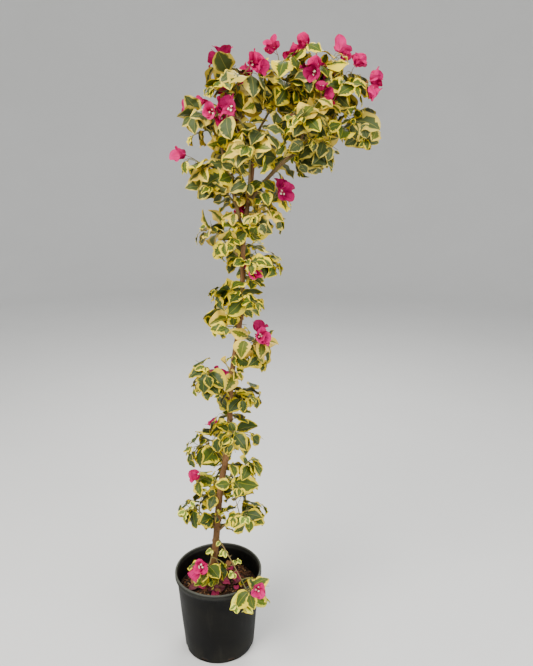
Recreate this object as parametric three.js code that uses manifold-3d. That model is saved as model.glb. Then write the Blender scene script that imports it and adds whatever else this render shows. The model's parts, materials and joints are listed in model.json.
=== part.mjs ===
// A young bougainvillea with cream-edged leaves, trained up as one leaning stem with an arching head,
// in a black nursery pot filled with bark compost. Millimetres, +Z up. The origin is the centre of
// the pot's flat underside, +X is to the right and -Y is the front.
import * as THREE from "three";
import { mergeVertices } from "three/addons/utils/BufferGeometryUtils.js";
import Module from "manifold-3d";

const wasm = await Module();
wasm.setup();

// Driving dimensions
const CLEARANCE = 0.3;
const POT = {
  height: 275,
  rimRadius: 140,
  rimDepth: 17,
  rimLip: 6,
  rimRound: 2.5,
  rimWall: 5.5,
  baseRadius: 108,
  footChamfer: 6,
  wall: 2.4,
  floor: 3,
  sides: 36,
  drains: 8,
  drainWidth: 18,
  drainHeight: 8,
  drainReach: 10,
};
const SOIL = { top: 215, flatRadius: 62, edgeDrop: 5 };
const TRUNK = {
  foot: SOIL.top + CLEARANCE,
  tip: 1610,
  footX: -28,
  lean: 0.135,
  leanFade: 0.0000205,
  wander: 5,
  wanderLength: 410,
  footRadius: 12,
  tipRadius: 5.2,
  taperCurve: 0.8,
  flare: 8,
  flareHeight: 26,
  flareLobes: 3,
  sides: 10,
  rings: 26,
  ringCrowding: 1.35,
};
const CANE = { sides: 7, steps: 12 };
const BOUGH = { shortest: 12, radius: 3.9, tipRadius: 2.9, sides: 6, stepLength: 30 };
// A mass's stem runs on past the centre by these shares of the mass's size: out, and up or down.
const STEM = {
  radius: 3.2,
  tipRadius: 2.4,
  onward: 0.3,
  climb: 0.2,
  fall: -0.3,
  arch: 0.25,
  steepArch: -0.05,
  bare: 0.35,
  sides: 4,
  steps: 3,
};
// Twigs reach this share of the way to the edge of their mass's space, or less where that isn't free.
const TWIG = {
  radius: 2,
  tipRadius: 1.5,
  reach: 0.74,
  shrinks: [1, 0.85, 0.7, 0.55],
  shortest: 20,
  rootMiddle: 0.5,
  rootSpread: 0.42,
  sides: 3,
  steps: 1,
};
// A leaf tries these shares of its size and these turns round its twig until it is free.
const LEAF = {
  length: 84,
  width: 58,
  fold: 3,
  sunk: 0.3,
  widest: 0.42,
  spacing: 11,
  smallest: 0.85,
  sizeSpread: 0.25,
  shrinks: [1, 0.8, 0.64],
  turns: [0, 0.45, -0.45, 0.9, -0.9, 1.4, -1.4],
  turnSpread: 0.9,
  forward: 0.5,
  outward: 0.25,
  hang: -0.3,
  faceOut: 0.8,
};
const BRACT = {
  length: 44,
  width: 38,
  fold: 2.4,
  sunk: 0.3,
  widest: 0.55,
  inBloom: 3,
  spacing: 4,
  smallest: 0.9,
  sizeSpread: 0.2,
  opening: 0.95,
  rise: 0.6,
  lowest: -0.3,
};
const TERRITORY_GAP = 1;
const FREE_GAP = 0.7;
const GOLDEN_TURN = Math.PI * (3 - Math.sqrt(5));
const UP = new THREE.Vector3(0, 0, 1);
const RIGHT = new THREE.Vector3(1, 0, 0);

// Long arching limbs that carry part of the head: where each leaves the trunk, the way it heads,
// how far out and up it ends, and how much higher than a straight line it bows.
const CANES = {
  cane_right: { leave: 1440, heading: 3, out: 262, rise: 212, bow: 62, radius: 6, tipRadius: 3.4 },
  cane_left: { leave: 1345, heading: 178, out: 62, rise: 255, bow: 10, radius: 5.2, tipRadius: 3.4 },
};

// Foliage masses. Each leaves its parent limb at a height on the trunk or at a share of a cane's
// length, and its centre lies out along a heading in plan and up by a rise. size is half its width,
// tall stretches it upward, twigs is how many it has and blooms how many of them end in bracts.
const LEFT_MASSES = {
  head_left: { leave: 1, heading: 190, out: 12, rise: 52, size: 92, tall: 1, twigs: 6, blooms: 3 },
  head_left_low: { leave: 0.35, heading: 195, out: 56, rise: 86, size: 90, tall: 1.05, twigs: 6, blooms: 2 },
  head_back: { leave: 0.6, heading: 68, out: 112, rise: 112, size: 92, tall: 1, twigs: 6, blooms: 2 },
};
const RIGHT_MASSES = {
  head_under: { leave: 0.34, heading: -6, out: 96, rise: 46, size: 76, tall: 0.95, twigs: 6, blooms: 1 },
  head_top: { leave: 0.58, heading: 0, out: 34, rise: 198, size: 94, tall: 1, twigs: 6, blooms: 5 },
  head_right_back: { leave: 0.66, heading: 82, out: 98, rise: 96, size: 88, tall: 1, twigs: 6, blooms: 2 },
  head_right_front: { leave: 0.5, heading: -72, out: 108, rise: 78, size: 84, tall: 1, twigs: 6, blooms: 1 },
  head_right: { leave: 0.84, heading: -25, out: 42, rise: 100, size: 84, tall: 0.95, twigs: 6, blooms: 4 },
  head_right_tip: { leave: 1, heading: 2, out: 44, rise: -14, size: 70, tall: 0.9, twigs: 5, blooms: 0 },
};
const TRUNK_MASSES = {
  head_left_top: { leave: 1560, heading: -140, out: 44, rise: 176, size: 92, tall: 1, twigs: 6, blooms: 3 },
  head_front: { leave: 1450, heading: -86, out: 104, rise: 148, size: 92, tall: 1, twigs: 6, blooms: 1 },
  head_middle: { leave: 1610, heading: 17, out: 66, rise: 136, size: 94, tall: 1, twigs: 6, blooms: 3 },
  collar_right: { leave: 1365, heading: -14, out: 56, rise: 44, size: 76, tall: 1.05, twigs: 5, blooms: 1 },
  collar_left: { leave: 1280, heading: 166, out: 54, rise: 64, size: 76, tall: 1.05, twigs: 5, blooms: 1 },
  low_left: { leave: 420, heading: 192, out: 50, rise: 78, size: 68, tall: 0.9, twigs: 4, blooms: 0 },
  low_right: { leave: 405, heading: -16, out: 92, rise: 88, size: 78, tall: 0.8, twigs: 5, blooms: 0 },
  low_back: { leave: 450, heading: 98, out: 74, rise: 82, size: 70, tall: 0.9, twigs: 4, blooms: 1 },
  trailing_left: { leave: 350, heading: -108, out: 58, rise: -42, size: 60, tall: 0.9, twigs: 4, blooms: 1 },
  trailing_right: { leave: 395, heading: -54, out: 182, rise: -100, size: 66, tall: 1, twigs: 4, blooms: 1 },
};
// Masses on the long stem between the low sprays and the head are evenly spaced, each turned from
// the last by the golden angle, and bloomEvery says which of them end a twig in bracts.
const COLUMN = { count: 9, low: 565, spacing: 84, firstHeading: 18, bloomEvery: 2 };
const COLUMN_MASS = { out: 50, rise: 36, size: 82, tall: 0.9, twigs: 4 };

const COLOURS = {
  pot: 0x232427,
  soil: 0x4a3323,
  bark: 0x6d5237,
  foliage: 0x9aa24a,
};

// The trunk's centre at height z: a fading lean with a slow wander, as of a stem trained up a guide.
function trunkAt(z) {
  const h = z - TRUNK.foot;
  const turn = (2 * Math.PI * h) / TRUNK.wanderLength;
  const wander = TRUNK.wander * Math.min(1, h / TRUNK.wanderLength);
  const x = TRUNK.footX + TRUNK.lean * h - TRUNK.leanFade * h * h + wander * Math.sin(turn);
  return new THREE.Vector3(x, wander * Math.cos(turn), z);
}

function trunkRadius(z) {
  const share = (z - TRUNK.foot) / (TRUNK.tip - TRUNK.foot);
  return TRUNK.footRadius + (TRUNK.tipRadius - TRUNK.footRadius) * share ** TRUNK.taperCurve;
}

// Even, repeatable numbers from 0 to 1.
function seeded(seed) {
  let state = seed * 7919 + 104729;
  const draw = () => {
    state = (state * 48271) % 2147483647;
    return state / 2147483647;
  };
  draw();
  draw();
  return draw;
}

function solidOf(geometry) {
  const bare = geometry.clone();
  bare.deleteAttribute("normal");
  bare.deleteAttribute("uv");
  const merged = mergeVertices(bare, 1e-4);
  return new wasm.Manifold(
    new wasm.Mesh({
      numProp: 3,
      vertProperties: new Float32Array(merged.attributes.position.array),
      triVerts: new Uint32Array(merged.index.array),
    }),
  );
}

function geometryOf(solid) {
  const mesh = solid.getMesh();
  const corners = new Float32Array(mesh.numVert * 3);
  for (let i = 0; i < mesh.numVert; i++) {
    const start = i * mesh.numProp;
    corners.set(mesh.vertProperties.subarray(start, start + 3), i * 3);
  }
  const geometry = new THREE.BufferGeometry();
  geometry.setAttribute("position", new THREE.BufferAttribute(corners, 3));
  geometry.setIndex(new THREE.BufferAttribute(new Uint32Array(mesh.triVerts), 1));
  geometry.computeVertexNormals();
  return geometry;
}

// Joins solids two by two, so that no join is much larger than its neighbour.
function joined(solids) {
  let left = solids;
  while (left.length > 1) {
    const next = [];
    for (let i = 0; i + 1 < left.length; i += 2) next.push(left[i].add(left[i + 1]));
    if (left.length % 2) next.push(left[left.length - 1]);
    left = next;
  }
  return left[0];
}

// The largest of a solid's separate bodies: a cut can leave a chip on the far side of the trunk.
function mainBody(solid) {
  return solid.decompose().sort((a, b) => b.volume() - a.volume())[0];
}

// A stretch of a curve between two shares of its length. Every curve here lies in one upright plane,
// and across is the level direction square to that plane.
class Stretch {
  constructor(curve, from = 0, to = 1) {
    this.curve = curve;
    this.from = from;
    this.to = to;
    this.length = curve.getLength() * (to - from);
    this.across = curve.getPointAt(1).sub(curve.getPointAt(0)).cross(UP).normalize();
    if (this.across.lengthSq() < 0.5) this.across.set(1, 0, 0);
  }

  share(along) {
    return Math.min(1, this.from + (this.to - this.from) * along);
  }

  pointAt(along) {
    return this.curve.getPointAt(this.share(along));
  }

  tangentAt(along) {
    return this.curve.getTangentAt(this.share(along));
  }
}

// A capped cylinder bent along a stretch, with its radius running from one end's to the other's.
function limbGeometry(stretch, radius, tipRadius, sides, steps) {
  const geometry = new THREE.CylinderGeometry(1, 1, 1, sides, steps);
  const place = geometry.attributes.position;
  for (let i = 0; i < place.count; i++) {
    const along = Math.round((place.getY(i) + 0.5) * steps) / steps;
    const reach = radius + (tipRadius - radius) * along;
    const point = stretch.pointAt(along);
    const third = stretch.across.clone().cross(stretch.tangentAt(along));
    point.addScaledVector(stretch.across, place.getX(i) * reach);
    point.addScaledVector(third, place.getZ(i) * reach);
    place.setXYZ(i, point.x, point.y, point.z);
  }
  return geometry;
}

// The trunk has level rings, so its foot is cut flat, and a lobed flare where it meets the compost.
function trunkGeometry(extra, top) {
  const geometry = new THREE.CylinderGeometry(1, 1, 1, TRUNK.sides, TRUNK.rings);
  const place = geometry.attributes.position;
  for (let i = 0; i < place.count; i++) {
    const share = place.getY(i) + 0.5;
    const z = TRUNK.foot + (top - TRUNK.foot) * share ** TRUNK.ringCrowding;
    const turn = Math.atan2(-place.getZ(i), place.getX(i));
    const inCentre = Math.hypot(place.getX(i), place.getZ(i)) < 0.5;
    const lobes = 0.7 + 0.3 * Math.cos(TRUNK.flareLobes * turn);
    const flare = TRUNK.flare * lobes * Math.exp(-(z - TRUNK.foot) / TRUNK.flareHeight);
    const reach = inCentre ? 0 : trunkRadius(z) + flare + extra;
    const centre = trunkAt(z);
    place.setXYZ(i, centre.x + Math.cos(turn) * reach, centre.y + Math.sin(turn) * reach, z);
  }
  return geometry;
}

// The pot's outline turned about its axis: from the middle of its underside up the outside, over the
// rolled rim and down the inside.
const WALL_TOP = POT.height - POT.rimDepth;
const WALL_RADIUS = POT.rimRadius - POT.rimLip;
const FOOT_RADIUS = POT.baseRadius + POT.footChamfer;

function potProfile() {
  return [
    [0, 0],
    [POT.baseRadius, 0],
    [FOOT_RADIUS, POT.footChamfer],
    [WALL_RADIUS, WALL_TOP - POT.floor],
    [POT.rimRadius, WALL_TOP],
    [POT.rimRadius, POT.height - POT.rimRound],
    [POT.rimRadius - POT.rimRound, POT.height],
    [POT.rimRadius - POT.rimWall, POT.height],
    [WALL_RADIUS - POT.wall, WALL_TOP - POT.floor],
    [FOOT_RADIUS - POT.wall, POT.footChamfer],
    [POT.baseRadius - POT.wall, POT.floor],
    [0, POT.floor],
  ];
}

// The radius that fills the pot at height z, clear of its wall.
function fillRadius(z) {
  const share = (z - POT.footChamfer) / (WALL_TOP - POT.floor - POT.footChamfer);
  const inside = THREE.MathUtils.lerp(FOOT_RADIUS, WALL_RADIUS, share) - POT.wall;
  return inside - 2 * CLEARANCE;
}

function lathe(profile) {
  const outline = profile.map(([radius, z]) => new THREE.Vector2(radius, z));
  return new THREE.LatheGeometry(outline, POT.sides).rotateX(Math.PI / 2);
}

// The pot has drain notches round its foot, cut half a side off the corners of its round.
function potSolid() {
  let pot = solidOf(lathe(potProfile()));
  for (let k = 0; k < POT.drains; k++) {
    const notch = new THREE.BoxGeometry(2 * POT.drainReach, POT.drainWidth, 2 * POT.drainHeight);
    notch.translate(FOOT_RADIUS, 0, 0);
    notch.rotateZ(((k + 0.5) * 2 * Math.PI) / POT.drains);
    pot = pot.subtract(solidOf(notch));
  }
  return pot;
}

function soilGeometry() {
  const low = POT.footChamfer + CLEARANCE;
  const edge = SOIL.top - SOIL.edgeDrop;
  return lathe([
    [0, POT.floor + CLEARANCE],
    [POT.baseRadius - POT.wall - 2 * CLEARANCE, POT.floor + CLEARANCE],
    [fillRadius(low), low],
    [fillRadius(edge), edge],
    [SOIL.flatRadius, SOIL.top],
    [0, SOIL.top],
  ]);
}

// A point out from another along a heading in plan, and up.
function outFrom(point, heading, out, rise) {
  const turn = THREE.MathUtils.degToRad(heading);
  return new THREE.Vector3(out * Math.cos(turn), out * Math.sin(turn), rise).add(point);
}

// A limb's centreline: a curve that bows above the straight line between its ends.
function bowed(start, end, bow) {
  const middle = start.clone().lerp(end, 0.45);
  middle.z += bow;
  return new THREE.QuadraticBezierCurve3(start, middle, end);
}

const trunkClear = solidOf(trunkGeometry(CLEARANCE, TRUNK.tip + CLEARANCE));

// The pot, the compost and every limb by name, which foliage keeps clear of.
const limbs = new Map();

function addLimb(name, stretch, size, cutter, sides, steps) {
  const whole = solidOf(limbGeometry(stretch, size.radius, size.tipRadius, sides, steps));
  limbs.set(name, mainBody(whole.subtract(cutter)));
}

// Each cane keeps a slightly wider copy of itself, which cuts back whatever springs from it.
const canes = {};

function growCanes() {
  for (const [name, cane] of Object.entries(CANES)) {
    const start = trunkAt(cane.leave);
    const stretch = new Stretch(bowed(start, outFrom(start, cane.heading, cane.out, cane.rise), cane.bow));
    const radii = [cane.radius + CLEARANCE, cane.tipRadius + CLEARANCE];
    canes[name] = { stretch, cutter: solidOf(limbGeometry(stretch, ...radii, CANE.sides, CANE.steps)) };
    addLimb(name, stretch, cane, trunkClear, CANE.sides, CANE.steps);
  }
}

// Works out a mass's centre and the curve that its bough and its own stem follow.
function plan([name, parent, row], index) {
  const cane = canes[parent];
  const root = cane ? cane.stretch.pointAt(row.leave) : trunkAt(row.leave);
  const centre = outFrom(root, row.heading, row.out, row.rise);
  const reach = new THREE.Vector3(row.size, row.size, row.size * row.tall);
  const climb = row.rise < 0 ? STEM.fall : STEM.climb;
  const far = outFrom(centre, row.heading, STEM.onward * row.size, climb * row.size);
  const arch = row.rise > row.out ? STEM.steepArch : STEM.arch;
  const whole = bowed(root, far, arch * row.size);
  const meetsTip = row.leave === 1 || row.leave === TRUNK.tip;
  return { name, ...row, index, centre, reach, whole, meetsTip, cutter: cane ? cane.cutter : trunkClear };
}

// How far inside a mass's own territory a point lies: each neighbour's share ends at a flat border
// between the two, so every territory is convex and none overlaps another.
function insideTerritory(mass, point, margin) {
  const away = point.clone().sub(mass.centre).divide(mass.reach);
  if (away.length() > 1 - margin / mass.size) return false;
  const own = point.distanceToSquared(mass.centre) - mass.size * mass.size;
  return masses.every((other) => {
    if (other === mass) return true;
    const apart = other.centre.distanceTo(mass.centre);
    const theirs = point.distanceToSquared(other.centre) - other.size * other.size;
    return (theirs - own) / (2 * apart) > TERRITORY_GAP / 2 + margin;
  });
}

// The share of a mass's curve at which it comes into the mass's own territory for good.
function entryShare(mass) {
  const shares = 60;
  let entry = shares;
  while (entry > 0 && insideTerritory(mass, mass.whole.getPointAt((entry - 1) / shares), STEM.radius)) {
    entry -= 1;
  }
  return entry / shares;
}

// A mass's bough runs to where the mass begins, and the mass's own stem goes on from its tip.
function growBough(mass) {
  const bough = new Stretch(mass.whole, 0, entryShare(mass));
  const hasBough = bough.length > BOUGH.shortest;
  const gap = hasBough || mass.meetsTip ? CLEARANCE / mass.whole.getLength() : 0;
  mass.stem = new Stretch(mass.whole, (hasBough ? bough.to : 0) + gap, 1);
  if (!hasBough) return;
  const steps = Math.max(2, Math.round(bough.length / BOUGH.stepLength));
  addLimb("bough_" + mass.name, bough, BOUGH, mass.cutter, BOUGH.sides, steps);
}

// True if a solid keeps clear of all the others.
function clearOf(solid, others) {
  return others.every((other) => solid.minGap(other, FREE_GAP + 0.1) > FREE_GAP);
}

// A pointed blade folded a little along its midrib: its foot and tip lie on the Y axis and its two
// sides are at its widest place.
function bladeGeometry(shape, size) {
  const geometry = new THREE.TetrahedronGeometry(1, 0);
  const place = geometry.attributes.position;
  const length = shape.length * size;
  for (let i = 0; i < place.count; i++) {
    const [x, y, z] = [place.getX(i), place.getY(i), place.getZ(i)].map(Math.sign);
    const onMidrib = x * y > 0;
    const along = onMidrib ? (x > 0 ? length : -shape.sunk) : length * shape.widest;
    const across = onMidrib ? 0 : (y * shape.width * size) / 2;
    place.setXYZ(i, across, along, onMidrib ? 0 : shape.fold);
  }
  return geometry;
}

// A blade that points along a direction with its upper face towards another, or nothing where it
// would leave the mass's territory or touch a limb or a neighbour.
function growBlade(mass, shape, size, foot, direction, facing, neighbours) {
  const along = direction.clone().normalize();
  const side = along.clone().cross(facing).normalize();
  const normal = side.clone().cross(along);
  const frame = new THREE.Matrix4().makeBasis(side, along, normal).setPosition(foot);
  const geometry = bladeGeometry(shape, size).applyMatrix4(frame);
  const corner = new THREE.Vector3();
  for (let i = 0; i < geometry.attributes.position.count; i++) {
    corner.fromBufferAttribute(geometry.attributes.position, i);
    if (!insideTerritory(mass, corner, 0)) return null;
  }
  const blade = solidOf(geometry);
  return clearOf(blade, mass.limbsNear) && clearOf(blade, neighbours) ? blade : null;
}

// A leaf leaves its twig sideways and hangs a little, its face turned out and up.
function growLeaf(mass, twig, share, sideTurn, neighbours, draw) {
  const foot = twig.stretch.pointAt(share);
  const along = twig.stretch.tangentAt(share);
  const outward = foot.clone().sub(mass.centre).normalize();
  const flat = along.clone().cross(UP).normalize();
  const size = LEAF.smallest + LEAF.sizeSpread * draw();
  const facing = UP.clone().addScaledVector(outward, LEAF.faceOut);
  for (const shrink of LEAF.shrinks) {
    for (const turn of LEAF.turns) {
      const direction = flat.clone().applyAxisAngle(along, sideTurn + turn);
      direction.addScaledVector(along, LEAF.forward);
      direction.addScaledVector(outward, LEAF.outward).addScaledVector(UP, LEAF.hang);
      const leaf = growBlade(mass, LEAF, size * shrink, foot, direction, facing, neighbours);
      if (leaf) return leaf;
    }
  }
  return null;
}

// Papery bracts set round the tip of a twig, opening out from it.
function growBloom(mass, twig, neighbours, draw) {
  const axis = twig.stretch.tangentAt(1).addScaledVector(UP, BRACT.rise).normalize();
  const across = axis.clone().cross(RIGHT).normalize();
  const firstTurn = draw() * Math.PI;
  const size = BRACT.smallest + BRACT.sizeSpread * draw();
  const found = [];
  for (let k = 0; k < BRACT.inBloom; k++) {
    const foot = twig.stretch.pointAt(1 - (1 + k * BRACT.spacing) / twig.stretch.length);
    const side = across.clone().applyAxisAngle(axis, firstTurn + (k * 2 * Math.PI) / BRACT.inBloom);
    const direction = axis.clone().addScaledVector(side, BRACT.opening);
    const facing = axis.clone().sub(side);
    const bract = growBlade(mass, BRACT, size, foot, direction, facing, [...neighbours, ...found]);
    if (bract) found.push(bract);
  }
  return found;
}

// An even set of directions over a ball.
function ballDirection(k, count, firstTurn) {
  const height = 1 - (2 * (k + 0.5)) / count;
  const across = Math.sqrt(1 - height * height);
  const turn = k * GOLDEN_TURN + firstTurn;
  return new THREE.Vector3(across * Math.cos(turn), across * Math.sin(turn), height);
}

// A twig runs from the mass's stem towards one of an even spread of places near the edge of its space.
function growTwig(mass, k) {
  const towards = ballDirection(k, mass.twigs, mass.index);
  const onStem = TWIG.rootMiddle + TWIG.rootSpread * towards.dot(mass.stem.tangentAt(0.5));
  const root = mass.stem.pointAt(onStem);
  if (!insideTerritory(mass, root, TWIG.radius)) return null;
  for (const shrink of TWIG.shrinks) {
    const target = towards.clone().multiply(mass.reach).multiplyScalar(TWIG.reach * shrink);
    const stretch = new Stretch(new THREE.LineCurve3(root, target.add(mass.centre)));
    if (!insideTerritory(mass, target, TWIG.radius) || stretch.length < TWIG.shortest) continue;
    const solid = solidOf(limbGeometry(stretch, TWIG.radius, TWIG.tipRadius, TWIG.sides, TWIG.steps));
    if (clearOf(solid, mass.limbsNear)) return { stretch, solid };
  }
  return null;
}

// A mass's twigs, and last its stem, which carries leaves past its bare foot as the twigs do.
function growTwigs(mass) {
  const twigs = [];
  for (let k = 0; k < mass.twigs; k++) twigs.push(growTwig(mass, k));
  const solid = solidOf(limbGeometry(mass.stem, STEM.radius, STEM.tipRadius, STEM.sides, STEM.steps));
  const stretch = new Stretch(mass.whole, mass.stem.share(STEM.bare), 1);
  return [...twigs.filter(Boolean), { stretch, solid }];
}

function growLeaves(mass, twig, neighbours, draw) {
  const leaves = [];
  const count = Math.max(1, Math.floor(twig.stretch.length / LEAF.spacing));
  for (let i = 1; i <= count; i++) {
    const sideTurn = (i % 2) * Math.PI + (draw() - 0.5) * LEAF.turnSpread;
    const leaf = growLeaf(mass, twig, (i - 0.3) / count, sideTurn, [...neighbours, ...leaves], draw);
    if (leaf) leaves.push(leaf);
  }
  return leaves;
}

function growMass(mass) {
  const draw = seeded(mass.index + 11);
  mass.limbsNear = [...limbs.values()];
  const twigs = growTwigs(mass);
  const blades = [];
  let blooming = 0;
  for (const twig of twigs) {
    const others = twigs.filter((other) => other !== twig).map((other) => other.solid);
    const high = twig.stretch.pointAt(1).z > mass.centre.z + mass.size * BRACT.lowest;
    const wanted = blooming < mass.blooms && high;
    const bloom = wanted ? growBloom(mass, twig, [...others, ...blades], draw) : [];
    if (bloom.length) blooming += 1;
    blades.push(...bloom);
    blades.push(...growLeaves(mass, twig, [...others, ...blades], draw));
  }
  return mainBody(joined([...twigs.map((twig) => twig.solid), ...blades]).subtract(mass.cutter));
}

function columnMasses() {
  const rows = {};
  for (let k = 0; k < COLUMN.count; k++) {
    rows["column_" + (k + 1)] = {
      leave: COLUMN.low + k * COLUMN.spacing,
      heading: COLUMN.firstHeading + THREE.MathUtils.radToDeg(k * GOLDEN_TURN),
      blooms: k % COLUMN.bloomEvery,
      ...COLUMN_MASS,
    };
  }
  return rows;
}

function rowsOf(parent, table) {
  return Object.entries(table).map(([name, row]) => [name, parent, row]);
}

function material(colour, roughness) {
  return new THREE.MeshStandardMaterial({ color: colour, roughness, metalness: 0 });
}

const plant = new THREE.Group();

function addMesh(name, solid, meshMaterial) {
  const mesh = new THREE.Mesh(geometryOf(solid), meshMaterial);
  mesh.name = name;
  plant.add(mesh);
}

limbs.set("pot", potSolid());
limbs.set("soil", solidOf(soilGeometry()));
limbs.set("trunk", solidOf(trunkGeometry(0, TRUNK.tip)));
growCanes();
const masses = [
  ...rowsOf("cane_left", LEFT_MASSES),
  ...rowsOf("cane_right", RIGHT_MASSES),
  ...rowsOf("trunk", TRUNK_MASSES),
  ...rowsOf("trunk", columnMasses()),
].map(plan);
for (const mass of masses) growBough(mass);

const bark = material(COLOURS.bark, 0.85);
const foliage = material(COLOURS.foliage, 0.55);
const potMaterials = { pot: material(COLOURS.pot, 0.5), soil: material(COLOURS.soil, 0.95) };
for (const [name, solid] of limbs) addMesh(name, solid, potMaterials[name] ?? bark);
for (const mass of masses) addMesh(mass.name, growMass(mass), foliage);

export default plant;
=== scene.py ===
"""The looks of a potted bougainvillea: bark, leaves, blossom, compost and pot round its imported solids.

Everything grows from the same trunk, canes and masses as the solids do, by the same rule, and then on
to finer twigs within the same reach. Lengths are metres, +Z is up and -Y is the front.
"""
import json
import math
from collections import namedtuple
from itertools import product

import bmesh
import bpy
import numpy as np
from bpy.props import FloatProperty, FloatVectorProperty, IntProperty, PointerProperty
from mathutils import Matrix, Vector

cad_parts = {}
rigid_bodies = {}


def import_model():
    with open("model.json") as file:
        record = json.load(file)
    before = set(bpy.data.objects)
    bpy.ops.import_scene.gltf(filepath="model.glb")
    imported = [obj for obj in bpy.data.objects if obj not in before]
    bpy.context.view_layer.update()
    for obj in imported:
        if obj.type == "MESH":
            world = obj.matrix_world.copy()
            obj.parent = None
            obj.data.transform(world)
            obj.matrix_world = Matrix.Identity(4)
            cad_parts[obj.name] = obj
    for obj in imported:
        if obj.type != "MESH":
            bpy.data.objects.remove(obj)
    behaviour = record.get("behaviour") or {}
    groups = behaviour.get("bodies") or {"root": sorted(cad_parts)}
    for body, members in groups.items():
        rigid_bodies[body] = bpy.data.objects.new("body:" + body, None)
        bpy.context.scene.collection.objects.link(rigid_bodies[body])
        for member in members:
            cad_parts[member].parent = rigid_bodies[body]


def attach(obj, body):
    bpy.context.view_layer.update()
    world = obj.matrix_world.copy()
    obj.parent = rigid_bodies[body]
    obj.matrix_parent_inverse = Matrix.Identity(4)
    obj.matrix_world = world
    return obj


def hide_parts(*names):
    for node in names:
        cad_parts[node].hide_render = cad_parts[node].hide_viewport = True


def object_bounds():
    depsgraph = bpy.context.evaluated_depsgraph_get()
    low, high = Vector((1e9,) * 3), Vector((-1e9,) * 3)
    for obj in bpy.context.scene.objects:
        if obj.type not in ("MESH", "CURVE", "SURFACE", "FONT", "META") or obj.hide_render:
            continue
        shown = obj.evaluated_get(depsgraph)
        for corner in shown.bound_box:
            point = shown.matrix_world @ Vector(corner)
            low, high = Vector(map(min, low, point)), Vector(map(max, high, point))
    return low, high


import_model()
CAD_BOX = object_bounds()

bl_info = {
    "name": "Potted Bougainvillea",
    "version": (1, 0, 0),
    "blender": (4, 5, 0),
    "location": "View3D > Sidebar > Bougainvillea",
    "description": "Grows bark, leaves and blossom round the solids of a potted bougainvillea",
    "category": "Object",
}

# Directions, the turn from one leaf or limb to the next, and the range of a random turn
UP = np.array([0.0, 0.0, 1.0])
RIGHT = np.array([1.0, 0.0, 0.0])
BACK = np.array([0.0, 1.0, 0.0])
GOLDEN_TURN = math.pi * (3 - math.sqrt(5))
NODE_TURN = 2.4
ANY_TURN = (0, 6.28)

# Repeatable random numbers: how a seed starts them, how each follows from the last, and the seed of
# each kind of piece
SEED_SCALE = 7919
SEED_SHIFT = 104729
MULTIPLIER = 48271
MODULUS = 2147483647
SEEDS = {
    "sprays": 11,
    "spurs": 401,
    "trunk": 5,
    "limbs": 6,
    "leaves": 77,
    "blossom": 91,
    "compost": 33,
}

# The plant's driving sizes, as in the solids
CLEARANCE = 0.0003
SOIL_TOP = 0.215
BOW_PLACE = 0.45
POT = {
    "height": 0.275,
    "rim_radius": 0.14,
    "rim_depth": 0.017,
    "rim_reach": 0.0062,
    "foot_radius": 0.114,
    "foot_round": 0.006,
    "top_radius": 0.134,
    "wall": 0.0024,
    "floor": 0.003,
    "drains": 8,
}
TRUNK = {
    "foot": SOIL_TOP + CLEARANCE,
    "tip": 1.61,
    "foot_x": -0.028,
    "lean": 0.135,
    "lean_fade": 0.0205,
    "wander": 0.005,
    "wander_length": 0.41,
    "foot_radius": 0.012,
    "tip_radius": 0.0052,
    "taper_curve": 0.8,
    "flare": 0.008,
    "flare_height": 0.026,
    "flare_lobes": 3,
}
# Each cane: where it leaves the trunk, its heading, how far out and up it ends, its bow and radii
CANE_FIELDS = ("leave", "heading", "out", "rise", "bow", "radius", "tip_radius")
CANE_ROWS = {
    "cane_right": (1.44, 3, 0.262, 0.212, 0.062, 0.006, 0.0034),
    "cane_left": (1.345, 178, 0.062, 0.255, 0.01, 0.0052, 0.0034),
}
CANES = {name: dict(zip(CANE_FIELDS, row)) for name, row in CANE_ROWS.items()}
# The boughs, the two trailing ones, and each mass's own stem and twigs: their radii in metres, and
# their curves as shares of the mass's half width or of their own length
BOUGH = {"shortest": 0.012, "radius": 0.0039, "tip_radius": 0.0029}
TRAILING = {"radius": 0.0021, "tip_radius": 0.0014}
STEM = {
    "radius": 0.0032,
    "tip_radius": 0.0019,
    "onward": 0.3,
    "climb": 0.2,
    "fall": -0.3,
    "arch": 0.25,
    "steep_arch": -0.05,
    "bare": 0.35,
    "shown": 0.94,
}
TWIG = {
    "radius": 0.0018,
    "tip_radius": 0.0009,
    "reach": 0.74,
    "shrinks": (1, 0.85, 0.7, 0.55),
    "shortest": 0.02,
    "root_middle": 0.5,
    "root_spread": 0.42,
}

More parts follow.
